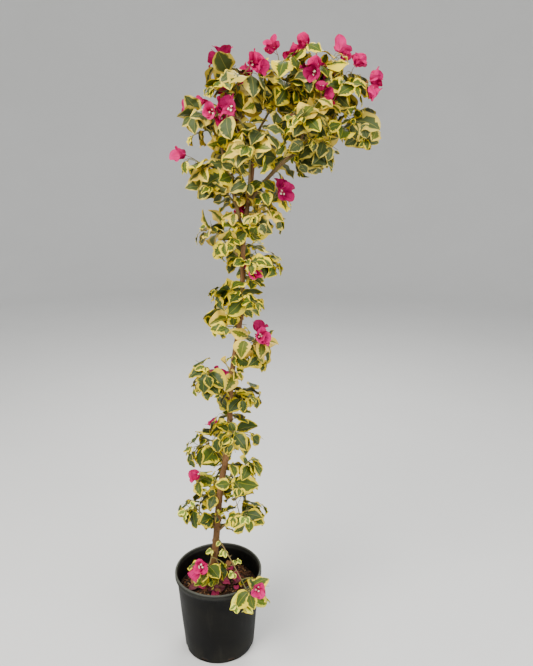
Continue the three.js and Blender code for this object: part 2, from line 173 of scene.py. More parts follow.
# Each mass: its parent limb, where it leaves it, the way it heads, how far out and up its centre
# lies, half its width, its upward stretch, its main twigs and how many of them end in blossom
MASS_FIELDS = ("parent", "leave", "heading", "out", "rise", "size", "tall", "twigs", "blooms")
MASSES = {
    "head_left": ("cane_left", 1, 190, 0.012, 0.052, 0.092, 1, 6, 3),
    "head_left_low": ("cane_left", 0.35, 195, 0.056, 0.086, 0.09, 1.05, 6, 2),
    "head_back": ("cane_left", 0.6, 68, 0.112, 0.112, 0.092, 1, 6, 2),
    "head_under": ("cane_right", 0.34, -6, 0.096, 0.046, 0.076, 0.95, 6, 1),
    "head_top": ("cane_right", 0.58, 0, 0.034, 0.198, 0.094, 1, 6, 5),
    "head_right_back": ("cane_right", 0.66, 82, 0.098, 0.096, 0.088, 1, 6, 2),
    "head_right_front": ("cane_right", 0.5, -72, 0.108, 0.078, 0.084, 1, 6, 1),
    "head_right": ("cane_right", 0.84, -25, 0.042, 0.1, 0.084, 0.95, 6, 4),
    "head_right_tip": ("cane_right", 1, 2, 0.044, -0.014, 0.07, 0.9, 5, 0),
    "head_left_top": ("trunk", 1.56, -140, 0.044, 0.176, 0.092, 1, 6, 3),
    "head_front": ("trunk", 1.45, -86, 0.104, 0.148, 0.092, 1, 6, 1),
    "head_middle": ("trunk", 1.61, 17, 0.066, 0.136, 0.094, 1, 6, 3),
    "collar_right": ("trunk", 1.365, -14, 0.056, 0.044, 0.076, 1.05, 5, 1),
    "collar_left": ("trunk", 1.28, 166, 0.054, 0.064, 0.076, 1.05, 5, 1),
    "low_left": ("trunk", 0.42, 192, 0.05, 0.078, 0.068, 0.9, 4, 0),
    "low_right": ("trunk", 0.405, -16, 0.092, 0.088, 0.078, 0.8, 5, 0),
    "low_back": ("trunk", 0.45, 98, 0.074, 0.082, 0.07, 0.9, 4, 1),
    "trailing_left": ("trunk", 0.35, -108, 0.058, -0.042, 0.06, 0.9, 4, 1),
    "trailing_right": ("trunk", 0.395, -54, 0.182, -0.1, 0.066, 1, 4, 1),
}
# The clumps up the stem, each with the same out, rise, size, tall and twigs
COLUMN = {"count": 9, "low": 0.565, "spacing": 0.084, "first_heading": 18, "bloom_every": 2}
COLUMN_MASS = (0.05, 0.036, 0.082, 0.9, 4)

# Room that leaves and twigs keep round the limbs, the pot and the compost, with the spacing and the
# radii of the points that stand for the limbs
ROOM = {
    "limb_step": 0.006,
    "cane_radius": 0.005,
    "bough_radius": 0.0035,
    "rim": 0.006,
    "wall": 0.02,
    "compost": 0.01,
    "twig": 0.002,
    "side_twig": 0.003,
}

# How the looks go on from the solids' twigs: sprays with side twigs and small leaves at their tips,
# spurs on the limbs, and how each leaf looks for its place
SPRAY = {
    "leaf_spacing": 0.0235,
    "leaf_set_back": 0.3,
    "tip_shrink": 0.45,
    "turn_looseness": (-0.5, 0.5),
    "beyond_leaf": 0.06,
    "onward": 0.1,
    "arch": 0.07,
}
SIDE_TWIG = {
    "count": 2,
    "from": 0.3,
    "span": 0.62,
    "places": (0.2, 0.8),
    "length": 0.04,
    "spread": 0.35,
    "ahead": 0.7,
    "lift": 0.15,
    "turn_looseness": (-0.4, 0.4),
    "shrinks": (1, 0.7, 0.45),
    "bow": 0.004,
    "leaves": 2,
    "leaf_sizes": (0.66, 1.0),
    "radius": 0.0011,
    "tip_radius": 0.0007,
}
TIP = {"leaves": 2, "sizes": (0.28, 0.5), "forward": 1.6}
SPUR = {
    "trunk_from": 0.43,
    "trunk_to": 1.59,
    "trunk_spacing": 0.075,
    "trunk_foot": 0.008,
    "cane_spacing": 0.042,
    "cane_foot": 0.005,
    "bough_spacing": 0.036,
    "bough_foot": 0.003,
    "trailing_foot": 0.002,
    "places": (0.25, 0.75),
    "turn_looseness": (-0.4, 0.4),
    "ahead": 0.5,
    "lift": 0.25,
    "lengths": (0.006, 0.022),
    "bow": 0.002,
    "leaves": 2,
    "leaves_from": 0.6,
    "sizes": (0.45, 0.9),
    "young_sizes": (0.2, 0.36),
}
LEAF_PLACING = {
    "forward": 0.5,
    "outward": 0.25,
    "hang": (-1.0, -0.3),
    "droop": 0.25,
    "face_out": 1.5,
    "looseness": (-0.5, 0.5),
    "apart": 0.0245,
    "limb_gap": 0.004,
    "proud": 0.012,
    "sizes": (0.88, 1.14),
    "samples": np.array([[0.35], [0.65], [0.95]]),
    "half_width": 0.3,
    "turns": (0, 0.5, -0.5, 1.0, -1.0),
    "shrinks": (1, 0.85, 0.7, 0.56),
    "box_slack": 0.002,
}
# How low in its mass a twig may bloom, how far its bracts reach and may pass the solids' box, and
# how far back on its twig a bloom may stand for that
BLOOM = {"lowest": -0.3, "reach": 0.058, "slack": 0.004, "least_share": 0.5}

# Where the head and the column begin, and the x that parts the head's leaves into two pieces
HEAD_FROM = 1.24
COLUMN_FROM = 0.5
HEAD_MIDDLE = 0.19

# The kinds of leaf, how much of each is green, how far the colour between lies from the centre's to
# the edge's, how many leaves are pale and how much of those is green, and the shares of each kind's
# sprays by part of the plant
# The deep kind is painted shade: darker copies of the leaf colours, dealt out on the stem and low down
# where the foliage is dense
LEAF_KINDS = ("sunlit", "shaded", "young", "ageing", "deep")
GREEN_SHARES = {"sunlit": 0.6, "shaded": 0.66, "young": 0.48, "ageing": 0.36, "deep": 0.64}
MIDDLE_SHARE = 0.36
PALE_CHANCE = 0.08
PALE_GREEN = 0.16
KIND_SHARES = {
    "head": {"shaded": 0.5, "sunlit": 0.3, "ageing": 0.2},
    "column": {"sunlit": 0.46, "deep": 0.4, "ageing": 0.14},
    "low": {"sunlit": 0.4, "young": 0.35, "deep": 0.25},
}


def unit(v):
    """v made 1 long."""
    return v / max(np.linalg.norm(v), 1e-9)


def seeded(seed):
    """A function that draws even, repeatable numbers between two limits; its first two are left out."""
    state = seed * SEED_SCALE + SEED_SHIFT

    def draw(low=0.0, high=1.0):
        nonlocal state
        state = (state * MULTIPLIER) % MODULUS
        return low + (high - low) * state / MODULUS

    draw()
    draw()
    return draw


def rotated(v, axis, turn):
    """v turned about a unit axis."""
    cosine = math.cos(turn)
    sine = math.sin(turn)
    return v * cosine + np.cross(axis, v) * sine + axis * float(np.dot(axis, v)) * (1 - cosine)


def side_of(along, turn):
    """A direction square to a limb, turned about it."""
    return rotated(unit(np.cross(along, RIGHT + UP * 0.3)), along, turn)


def out_from(point, heading, out, rise):
    """The place that lies so far out and up from a point, at a heading in degrees."""
    turn = math.radians(heading)
    return point + np.array([out * math.cos(turn), out * math.sin(turn), rise])


# Curves and the plant's plan


class Path:
    """A curve that is read by shares of its length."""

    def __init__(self, points):
        self.points = np.asarray(points, float)
        steps = np.linalg.norm(np.diff(self.points, axis=0), axis=1)
        self.marks = np.concatenate([[0.0], np.cumsum(steps)])
        self.length = float(self.marks[-1])

    def at(self, share):
        """The point at a share of the length, or the points at several."""
        place = np.clip(np.asarray(share, float), 0, 1) * self.length
        return np.stack([np.interp(place, self.marks, self.points[:, k]) for k in range(3)], axis=-1)

    def heading(self, share):
        """The direction of the curve at a share of its length."""
        step = 0.01
        return unit(self.at(min(1.0, share + step)) - self.at(max(0.0, share - step)))

    def stretch(self, start, end, count=24):
        """The curve between two shares of its length."""
        return Path(self.at(np.linspace(start, end, count)))


def bowed(start, end, bow, count=48):
    """A curve from start to end that bows above the straight line between them."""
    middle = start + (end - start) * BOW_PLACE + UP * bow
    t = np.linspace(0, 1, count)[:, None]
    return Path((1 - t) ** 2 * start + 2 * t * (1 - t) * middle + t**2 * end)


def trunk_at(z):
    """The trunk's centre at height z: a fading lean with a slow wander."""
    h = np.asarray(z, float) - TRUNK["foot"]
    turn = 2 * math.pi * h / TRUNK["wander_length"]
    wander = TRUNK["wander"] * np.minimum(1, h / TRUNK["wander_length"])
    x = TRUNK["foot_x"] + TRUNK["lean"] * h - TRUNK["lean_fade"] * h * h + wander * np.sin(turn)
    return np.stack([x, wander * np.cos(turn), np.asarray(z, float)], axis=-1)


def trunk_radius(z):
    """The trunk's radius at height z, without its flare."""
    share = (np.asarray(z, float) - TRUNK["foot"]) / (TRUNK["tip"] - TRUNK["foot"])
    taper = np.clip(share, 0, 1) ** TRUNK["taper_curve"]
    return TRUNK["foot_radius"] + (TRUNK["tip_radius"] - TRUNK["foot_radius"]) * taper


class Mass:
    """One mass of foliage: its centre, its reach and the curve that its bough and stem follow."""

    def __init__(self, name, row, index, canes):
        values = dict(zip(MASS_FIELDS, row))
        self.name = name
        self.index = index
        self.size = values["size"]
        self.twigs = values["twigs"]
        self.blooms = values["blooms"]
        cane = canes.get(values["parent"])
        root = cane.at(values["leave"]) if cane else trunk_at(values["leave"])
        self.centre = out_from(root, values["heading"], values["out"], values["rise"])
        self.reach = np.array([self.size, self.size, self.size * values["tall"]])
        climb = STEM["fall"] if values["rise"] < 0 else STEM["climb"]
        far = out_from(self.centre, values["heading"], STEM["onward"] * self.size, climb * self.size)
        arch = STEM["steep_arch"] if values["rise"] > values["out"] else STEM["arch"]
        self.whole = bowed(root, far, arch * self.size)


class Plant:
    """The whole plan: canes, masses with their territories, boughs and the limbs to keep clear of."""

    def __init__(self):
        self.canes = {}
        for name, cane in CANES.items():
            start = trunk_at(cane["leave"])
            end = out_from(start, cane["heading"], cane["out"], cane["rise"])
            self.canes[name] = bowed(start, end, cane["bow"])
        rows = dict(MASSES)
        for k in range(COLUMN["count"]):
            heading = COLUMN["first_heading"] + math.degrees(k * GOLDEN_TURN)
            leave = COLUMN["low"] + k * COLUMN["spacing"]
            blooms = k % COLUMN["bloom_every"]
            rows[f"column_{k + 1}"] = ("trunk", leave, heading, *COLUMN_MASS, blooms)
        self.masses = [Mass(name, row, i, self.canes) for i, (name, row) in enumerate(rows.items())]
        self.centres = np.array([mass.centre for mass in self.masses])
        self.sizes = np.array([mass.size for mass in self.masses])
        self.boughs = {}
        for mass in self.masses:
            self.split(mass)
        self.limb_points, self.limb_radii = self.limb_samples()

    def inside(self, mass, point, margin=0.0, border=0.0005):
        """True if a point lies in a mass's own convex territory."""
        away = (point - mass.centre) / mass.reach
        if np.linalg.norm(away) > 1 - margin / mass.size:
            return False
        own = float(np.sum((point - mass.centre) ** 2)) - mass.size**2
        theirs = np.sum((point - self.centres) ** 2, axis=1) - self.sizes**2
        apart = np.linalg.norm(self.centres - mass.centre, axis=1)
        apart[mass.index] = 1.0
        gaps = (theirs - own) / (2 * apart)
        gaps[mass.index] = 1.0
        return bool(np.all(gaps > border + margin))

    def split(self, mass):
        """Divides a mass's curve into its bough, which ends where the mass begins, and its stem."""
        shares = 60
        entry = shares
        while entry > 0 and self.inside(mass, mass.whole.at((entry - 1) / shares), STEM["radius"]):
            entry -= 1
        entry /= shares
        has_bough = mass.whole.length * entry > BOUGH["shortest"]
        if has_bough:
            self.boughs["bough_" + mass.name] = mass.whole.stretch(0, entry)
        mass.stem = mass.whole.stretch(entry if has_bough else 0, 1)

    def limb_samples(self):
        """Points along every limb, and the limb's radius at each."""
        heights = np.arange(TRUNK["foot"], TRUNK["tip"], ROOM["limb_step"])
        points = [trunk_at(heights)]
        radii = [trunk_radius(heights)]
        for paths, radius in ((self.canes, ROOM["cane_radius"]), (self.boughs, ROOM["bough_radius"])):
            for path in paths.values():
                count = max(4, int(path.length / ROOM["limb_step"]))
                points.append(path.at(np.linspace(0, 1, count)))
                radii.append(np.full(count, radius))
        return np.concatenate(points), np.concatenate(radii)

    def clear(self, points, gap):
        """True if points keep clear of the limbs, of the pot's rim and of the compost."""
        apart = np.linalg.norm(points[:, None, :] - self.limb_points[None, :, :], axis=2)
        if (apart - self.limb_radii).min() < gap:
            return False
        radius = np.hypot(points[:, 0], points[:, 1])
        rim_radius = POT["rim_radius"]
        below_rim = points[:, 2] < POT["height"] + gap
        rim = (np.abs(radius - rim_radius) < ROOM["rim"] + gap) & below_rim
        wall = (radius < rim_radius + gap) & (radius > rim_radius - ROOM["wall"]) & below_rim
        soil = (radius < rim_radius) & (points[:, 2] < SOIL_TOP + ROOM["compost"])
        return not bool(np.any(rim | wall | soil))


def ball_direction(k, count, first_turn):
    """An even set of directions over a ball."""
    height = 1 - 2 * (k + 0.5) / count
    across = math.sqrt(1 - height * height)
    turn = k * GOLDEN_TURN + first_turn
    return np.array([across * math.cos(turn), across * math.sin(turn), height])


# Growing sprays: every twig, leaf place and bloom place of the plant

# A leaf's and a bloom's place, a twig's curve, and the most leaves that there is room for
Leaf = namedtuple("Leaf", "foot heading facing size kind region")
Twig = namedtuple("Twig", "path radius tip_radius")
Bloom = namedtuple("Bloom", "foot heading")
MOST_LEAVES = 4000


def region_of(name):
    """The part of the plant that a mass belongs to."""
    first = name.split("_")[0]
    if first in ("head", "collar"):
        return "head"
    return "column" if first == "column" else "low"


def region_at(height):
    """The part of the plant that a height belongs to."""
    if height > HEAD_FROM:
        return "head"
    return "column" if height > COLUMN_FROM else "low"


def spray_kind(region, chance):
    """The kind of leaf that a spray bears: shares of each kind by the part of the plant."""
    shares = KIND_SHARES[region]
    for kind, share in shares.items():
        chance -= share
        if chance < 0:
            return kind
    return "sunlit"


def in_box(points, slack):
    """True if points lie in the solids' box or at most slack outside it."""
    low, high = np.array(CAD_BOX)
    return bool(np.all(points > low - slack) and np.all(points < high + slack))


def within(mass, points):
    """True if points lie in the plant's box and, where there is one, in the reach of a mass."""
    if not in_box(points, LEAF_PLACING["box_slack"]):
        return False
    if mass is None:
        return True
    away = np.linalg.norm((points - mass.centre) / (mass.reach + LEAF_PLACING["proud"]), axis=1)
    return bool(np.all(away < 1.0))


def bloom_share(twig):
    """How far out along its twig a bloom stands, so that its bracts stay within the box."""
    for share in np.linspace(1.0, BLOOM["least_share"], 11):
        if in_box(twig.at(share) + twig.heading(share) * BLOOM["reach"], BLOOM["slack"]):
            return float(share)
    return BLOOM["least_share"]


def leaf_points(foot, heading, facing, length):
    """Points along a leaf's drooping middle, then one at each side of it."""
    shares = LEAF_PLACING["samples"]
    points = foot + heading * shares * length - UP * shares**2 * length * LEAF_PLACING["droop"]
    wide = unit(np.cross(heading, facing)) * length * LEAF_PLACING["half_width"]
    return np.concatenate([points, [points[1] - wide, points[1] + wide]])


class Growth:
    """What grows on the limbs: twigs as paths with radii, leaves and blooms as places."""

    def __init__(self, plant, foliage):
        self.plant = plant
        self.reach = foliage.leaf_length + foliage.petiole_length
        self.twigs = []
        self.leaves = []
        self.blooms = []
        self.middles = np.zeros((MOST_LEAVES, 3))
        for mass in plant.masses:
            self.grow_mass(mass)
        self.grow_spurs()

    def main_twig(self, mass, k):
        """The curve of a mass's twig k, or None where it has no room."""
        towards = ball_direction(k, mass.twigs, mass.index)
        ahead = float(np.dot(towards, mass.stem.heading(0.5)))
        on_stem = TWIG["root_middle"] + TWIG["root_spread"] * ahead
        root = mass.stem.at(on_stem)
        if not self.plant.inside(mass, root, TWIG["radius"]):
            return None
        for shrink in TWIG["shrinks"]:
            target = mass.centre + towards * mass.reach * TWIG["reach"] * shrink
            if not self.plant.inside(mass, target, TWIG["radius"]):
                continue
            if np.linalg.norm(target - root) < TWIG["shortest"]:
                continue
            if self.plant.clear(Path([root, target]).at(np.linspace(0.3, 1, 6)), ROOM["twig"]):
                beyond = target + towards * mass.size * SPRAY["onward"]
                return bowed(root, beyond, SPRAY["arch"] * np.linalg.norm(beyond - root), 12)
        return None

    def grow_mass(self, mass):
        """The sprays of one mass on its main twigs and its stem, some of them ending in blossom."""
        draw = seeded(mass.index + SEEDS["sprays"])
        blooming = 0
        for k in range(mass.twigs):
            twig = self.main_twig(mass, k)
            if twig is None:
                continue
            high = twig.at(1.0)[2] > mass.centre[2] + mass.size * BLOOM["lowest"]
            blooms = blooming < mass.blooms and high
            blooming += blooms
            self.grow_spray(mass, twig, blooms, draw)
        self.grow_spray(mass, mass.stem.stretch(STEM["bare"], 1), False, draw)
        stem = mass.stem.stretch(0, STEM["shown"])
        thick = TRAILING["tip_radius"] / STEM["radius"] if "trailing" in mass.name else 1.0
        self.twigs.append(Twig(stem, STEM["radius"] * thick, STEM["tip_radius"] * thick))

    def grow_spray(self, mass, twig, blooms, draw):
        """Leaves and side twigs along one main twig, which ends at the last of them."""
        kind = spray_kind(region_of(mass.name), draw())
        furthest = 1.0 if blooms else 0.0
        count = max(2, int(twig.length / SPRAY["leaf_spacing"]))
        last = count - 1 if blooms else count
        for i in range(1, last + 1):
            share = (i - SPRAY["leaf_set_back"]) / count
            side_turn = (i % 2) * math.pi + draw(*SPRAY["turn_looseness"])
            grown = 1.0 - SPRAY["tip_shrink"] * max(0.0, share - 0.5)
            if self.grow_leaf(mass, twig, share, side_turn, grown, kind, draw):
                furthest = max(furthest, share)
        for i in range(SIDE_TWIG["count"]):
            along = (i + draw(*SIDE_TWIG["places"])) / SIDE_TWIG["count"]
            share = SIDE_TWIG["from"] + SIDE_TWIG["span"] * along
            if self.grow_side(mass, twig, share, i, kind, draw):
                furthest = max(furthest, share)
        if blooms:
            furthest = bloom_share(twig)
            self.blooms.append(Bloom(twig.at(furthest), twig.heading(furthest)))
        if furthest > 0:
            beyond = 0.0 if blooms else SPRAY["beyond_leaf"]
            shown = twig.stretch(0, min(1.0, furthest + beyond), 14)
            self.twigs.append(Twig(shown, TWIG["radius"], TWIG["tip_radius"]))
            if not blooms:
                self.grow_tip(mass, shown, draw)

    def grow_side(self, mass, twig, share, i, kind, draw):
        """A short side twig with its leaves, left out where none of them has room."""
        along = twig.heading(share)
        flat = unit(np.cross(along, UP))
        outward = rotated(flat, along, i * GOLDEN_TURN + draw(*SIDE_TWIG["turn_looseness"]))
        heading = unit(outward + along * SIDE_TWIG["ahead"] + UP * SIDE_TWIG["lift"])
        length = SIDE_TWIG["length"] * draw(1 - SIDE_TWIG["spread"], 1 + SIDE_TWIG["spread"])
        start = twig.at(share)
        for shrink in SIDE_TWIG["shrinks"]:
            end = start + heading * length * shrink
            tip = end[None, :]
            if not (within(mass, tip) and self.plant.clear(tip, ROOM["side_twig"])):
                continue
            side = bowed(start, end, SIDE_TWIG["bow"], 7)
            grown = 0
            for j in range(SIDE_TWIG["leaves"]):
                place = (j + 1) / SIDE_TWIG["leaves"]
                side_turn = j * math.pi + draw(*SPRAY["turn_looseness"])
                size = draw(*SIDE_TWIG["leaf_sizes"])
                grown += self.grow_leaf(mass, side, place, side_turn, size, kind, draw)
            if grown:
                self.twigs.append(Twig(side, SIDE_TWIG["radius"], SIDE_TWIG["tip_radius"]))
            return bool(grown)
        return False

    def grow_tip(self, mass, twig, draw):
        """Small new leaves that finish a twig."""
        for j in range(TIP["leaves"]):
            size = draw(*TIP["sizes"])
            kind = "young" if region_of(mass.name) == "low" else "sunlit"
            self.grow_leaf(mass, twig, 1.0, j * GOLDEN_TURN, size, kind, draw, TIP["forward"])

    def grow_leaf(self, mass, twig, share, side_turn, grown, kind, draw, forward=None):
        """Places one leaf where it has room, trying smaller ones and other turns; true if it has."""
        foot = twig.at(share)
        along = twig.heading(share)
        outward = unit(foot - mass.centre) if mass else along
        flat = unit(np.cross(along, UP + RIGHT * 0.001))
        ahead = LEAF_PLACING["forward"] if forward is None else forward
        size = grown * draw(*LEAF_PLACING["sizes"])
        loose = LEAF_PLACING["looseness"]
        jitter = np.array([draw(*loose), draw(*loose), draw(*loose)])
        hang = UP * draw(*LEAF_PLACING["hang"])
        region = region_of(mass.name) if mass else region_at(foot[2])
        for shrink in LEAF_PLACING["shrinks"]:
            for turn in LEAF_PLACING["turns"]:
                heading = rotated(flat, along, side_turn + turn) + along * ahead
                heading = unit(heading + outward * LEAF_PLACING["outward"] + hang)
                facing = UP + outward * LEAF_PLACING["face_out"] + jitter
                length = self.reach * size * shrink
                points = leaf_points(foot, heading, facing, length)
                if self.crowded(points[1], length) or not within(mass, points):
                    continue
                if not self.plant.clear(points, LEAF_PLACING["limb_gap"]):
                    continue
                self.middles[len(self.leaves)] = points[1]
                self.leaves.append(Leaf(foot, heading, facing, size * shrink, kind, region))
                return True
        return False

    def crowded(self, middle, length):
        """True if another leaf lies too near; small leaves may lie closer than large ones."""
        taken = self.middles[: len(self.leaves)]
        apart = LEAF_PLACING["apart"] * length / self.reach
        return bool(len(taken)) and bool(np.min(np.sum((taken - middle) ** 2, axis=1)) < apart**2)

    def grow_spurs(self):
        """Short leafy spurs at the nodes of the trunk, the canes and the boughs."""
        draw = seeded(SEEDS["spurs"])
        heights = np.linspace(SPUR["trunk_from"], SPUR["trunk_to"], 90)
        trunk = Path(trunk_at(heights))
        self.grow_spurs_on(trunk, SPUR["trunk_spacing"], SPUR["trunk_foot"], SPUR["sizes"], draw)
        for path in self.plant.canes.values():
            self.grow_spurs_on(path, SPUR["cane_spacing"], SPUR["cane_foot"], SPUR["sizes"], draw)
        for name, path in self.plant.boughs.items():
            trails = "trailing" in name
            sizes = SPUR["young_sizes"] if trails else SPUR["sizes"]
            foot = SPUR["trailing_foot"] if trails else SPUR["bough_foot"]
            self.grow_spurs_on(path, SPUR["bough_spacing"], foot, sizes, draw)

    def grow_spurs_on(self, path, spacing, radius, sizes, draw):
        """Spurs along one limb, each starting at the given radius from its middle."""
        count = max(1, int(path.length / spacing))
        for i in range(count):
            share = (i + draw(*SPUR["places"])) / count
            along = path.heading(share)
            side = side_of(along, i * GOLDEN_TURN + draw(*SPUR["turn_looseness"]))
            start = path.at(share) + side * radius
            heading = unit(side + along * SPUR["ahead"] + UP * SPUR["lift"])
            spur = bowed(start, start + heading * draw(*SPUR["lengths"]), SPUR["bow"], 7)
            kind = "young" if sizes is SPUR["young_sizes"] else spray_kind(region_at(start[2]), draw())
            grown = 0
            for j in range(SPUR["leaves"]):
                place = SPUR["leaves_from"] + (1 - SPUR["leaves_from"]) * j / SPUR["leaves"]
                turn = j * GOLDEN_TURN + draw(*SPUR["turn_looseness"])
                grown += self.grow_leaf(None, spur, place, turn, draw(*sizes), kind, draw)
            if grown:
                self.twigs.append(Twig(spur, SIDE_TWIG["radius"], SIDE_TWIG["tip_radius"]))


# Making meshes


class Shape:
    """Gathers the corners, faces and material numbers of one piece."""

    def __init__(self):
        self.corners = []
        self.faces = []
        self.materials = []
        self.count = 0

    def add(self, corners, faces, materials=0):
        """Adds corners and faces, with one material number for all the faces or one for each."""
        corners = np.asarray(corners, float).reshape(-1, 3)
        self.corners.append(corners)
        self.faces.extend([tuple(int(c) + self.count for c in face) for face in faces])
        if np.isscalar(materials):
            self.materials.extend([materials] * len(faces))
        else:
            self.materials.extend(int(m) for m in materials)
        self.count += len(corners)

    def build(self, name, materials, slot, replaced=(), smooth=True):
        """Makes the piece on the root body and hides the solids that it replaces; the slot is not used.
        """
        mesh = bpy.data.meshes.new(name)
        mesh.from_pydata(np.concatenate(self.corners).tolist(), [], self.faces)
        for material in materials:
            mesh.materials.append(material)
        mesh.polygons.foreach_set("material_index", self.materials)
        mesh.polygons.foreach_set("use_smooth", [smooth] * len(mesh.polygons))
        mesh.update()
        piece = bpy.data.objects.new(name, mesh)
        bpy.context.scene.collection.objects.link(piece)
        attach(piece, "root")
        if replaced:
            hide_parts(*replaced)
        return piece


def grid_faces(rows, columns, closed):
    """Quads between rows of corners; closed joins each row's last corner to its first."""
    faces = []
    spans = columns if closed else columns - 1
    for i in range(rows - 1):
        for j in range(spans):
            k = (j + 1) % columns
            low = i * columns
            high = low + columns
            faces.append((low + j, low + k, high + k, high + j))
    return faces


def capped_faces(rings, sides):
    """The quads of a tube, and the triangles that close each end round one of two last corners."""
    faces = grid_faces(rings, sides, True)
    first = rings * sides
    last = first - sides
    for j in range(sides):
        k = (j + 1) % sides
        faces.append((first, k, j))
        faces.append((first + 1, last + j, last + k))
    return faces


def round_turns(sides):
    """Even turns round a full circle."""
    return np.linspace(0, 2 * math.pi, sides, endpoint=False)


def ring(centre, side, other, turns, reach):
    """Corners round a centre in the plane of two directions, each at its own reach."""
    return centre + np.outer(np.cos(turns) * reach, side) + np.outer(np.sin(turns) * reach, other)


def add_tube(shape, path, radius, tip_radius, sides, rings, material=0, relief=None):
    """A capped tube along a path, with its radius running from one end's to the other's."""
    shares = np.linspace(0, 1, rings)
    centres = path.at(shares)
    heading = unit(centres[-1] - centres[0])
    across = np.cross(heading, UP)
    across = unit(across) if np.linalg.norm(across) > 0.05 else RIGHT
    turns = round_turns(sides)
    rows = []
    for i, share in enumerate(shares):
        along = path.heading(share)
        side = unit(across - along * float(np.dot(across, along)))
        reach = np.full(sides, radius + (tip_radius - radius) * share)
        if relief is not None:
            reach = reach * (1 + relief(share * path.length, turns))
        rows.append(ring(centres[i], side, np.cross(along, side), turns, reach))
    corners = np.concatenate(rows + [centres[:1], centres[-1:]])
    shape.add(corners, capped_faces(rings, sides), material)


# Leaves and bracts

# A leaf's zones of colour in the order of its materials, and the zone of each strip across it
ZONES = ("centre", "middle", "edge")
ZONES_ACROSS = [2, 2, 1, 0, 1, 1, 0, 1, 2, 2]
LEAF_STATIONS = 15
# How the leaves differ: ranges of the powers of their outline, of their droop, twist, fold and curl,
# and of the waves along their edges; depths are shares of the width
LEAF_SHAPE = {
    "base": (0.44, 0.56),
    "tip": (0.82, 1.02),
    "droop": (0.45, 1.15),
    "droop_curve": 1.3,
    "twist": (-0.5, 0.5),
    "fold": (0.1, 0.45),
    "curl": (0.1, 0.5),
    "waves": (1.2, 2.4),
    "wave_depth": (0.05, 0.13),
    "rib": 0.035,
    "quilt": 0.008,
    "vein_slant": 2.4,
}
# How a leaf's borders of colour wander from station to station, as shares of its half width
BORDERS = {
    "side": (-0.14, 0.14),
    "feather": (0.04, 0.16),
    "drift": (-1.3, 1.3),
    "drift_kept": 0.5,
    "vein": 0.5,
    "fine": (-0.06, 0.06),
    "narrowest": 0.06,
    "inner_widest": 0.86,
    "outer_widest": 0.93,
    "between": (0.02, 0.16),
    "taper": (0.16, 0.8),
}


def outline(t, base, tip):
    """The half width, 1 at its widest, of a blade with a round base and a drawn-out tip."""
    widest = base / (base + tip)
    most = widest**base * (1 - widest) ** tip
    return np.clip(t, 0, 1) ** base * np.clip(1 - t, 0, 1) ** tip / most


def colour_borders(draw, green):
    """The places of a leaf's colour borders across each half, as shares of the half width."""
    inner = np.zeros((2, LEAF_STATIONS))
    outer = np.zeros((2, LEAF_STATIONS))
    taper_from, taper_span = BORDERS["taper"]
    for side in range(2):
        level = green + draw(*BORDERS["side"])
        feather = draw(*BORDERS["feather"])
        drift = 0.0
        for i in range(LEAF_STATIONS):
            share = taper_from + taper_span * i / (LEAF_STATIONS - 1)
            taper = math.sin(math.pi * min(1.0, share)) ** 0.5
            drift = BORDERS["drift_kept"] * drift + feather * draw(*BORDERS["drift"])
            vein = feather * (BORDERS["vein"] if i % 2 else -BORDERS["vein"])
            border = (level + drift + vein + draw(*BORDERS["fine"])) * taper
            inner[side, i] = min(BORDERS["inner_widest"], max(BORDERS["narrowest"], border))
            border = inner[side, i] + draw(*BORDERS["between"]) * taper
            outer[side, i] = min(BORDERS["outer_widest"], border)
    return inner, outer


def blade_frame(foot, heading, facing, length, angles):
    """A function that places points of a drooping blade, so far across and above its station i."""
    side = unit(np.cross(heading, facing))
    normal = np.cross(side, heading)
    step = length / (len(angles) - 1)
    forward = np.concatenate([[0], np.cumsum(np.cos(angles[:-1]) * step)])
    fall = np.concatenate([[0], np.cumsum(np.sin(angles[:-1]) * step)])

    def place(i, x, z):
        y = forward[i] + z * math.sin(angles[i])
        height = -fall[i] + z * math.cos(angles[i])
        return foot + np.outer(x, side) + np.outer(y, heading) + np.outer(height, normal)

    return place


def add_leaf(shape, foot, heading, facing, length, width, first_material, green, draw):
    """A drooping leaf with a folded midrib, a wavy edge and its own ragged colour borders."""
    inner, outer = colour_borders(draw, green)
    t = np.linspace(0, 1, LEAF_STATIONS)
    half = outline(t, draw(*LEAF_SHAPE["base"]), draw(*LEAF_SHAPE["tip"])) * width / 2
    angles = draw(*LEAF_SHAPE["droop"]) * t ** LEAF_SHAPE["droop_curve"]
    place = blade_frame(foot, heading, facing, length, angles)
    twist = draw(*LEAF_SHAPE["twist"]) * t
    fold = draw(*LEAF_SHAPE["fold"])
    curl = draw(*LEAF_SHAPE["curl"])
    ranges = (LEAF_SHAPE["waves"], ANY_TURN, LEAF_SHAPE["wave_depth"])
    waves = [[draw(*limits) for limits in ranges] for _ in range(2)]
    rib = LEAF_SHAPE["rib"]
    rows = []
    for i in range(LEAF_STATIONS):
        left = [-1, -(1 + outer[0, i]) / 2, -outer[0, i], -inner[0, i], -rib]
        right = [rib, inner[1, i], outer[1, i], (1 + outer[1, i]) / 2, 1]
        across = np.array(left + [0] + right)
        x = across * half[i]
        swell = width * math.sin(math.pi * t[i])
        ripples = [
            depth * math.sin(count * 2 * math.pi * t[i] + phase) for count, phase, depth in waves
        ]
        wave = np.where(across < 0, *ripples) * across**2 * swell
        veins = np.cos(math.pi * (i - LEAF_SHAPE["vein_slant"] * np.abs(across)))
        quilt = veins * np.sin(math.pi * np.abs(across)) * LEAF_SHAPE["quilt"] * swell
        z = np.abs(x) * fold - curl * x * x / (width / 2) + wave + quilt
        turned_x = x * math.cos(twist[i]) - z * math.sin(twist[i])
        turned_z = x * math.sin(twist[i]) + z * math.cos(twist[i])
        rows.append(place(i, turned_x, turned_z))
    zones = np.tile(ZONES_ACROSS, LEAF_STATIONS - 1)
    faces = grid_faces(LEAF_STATIONS, len(ZONES_ACROSS) + 1, False)
    shape.add(np.concatenate(rows), faces, zones + first_material)


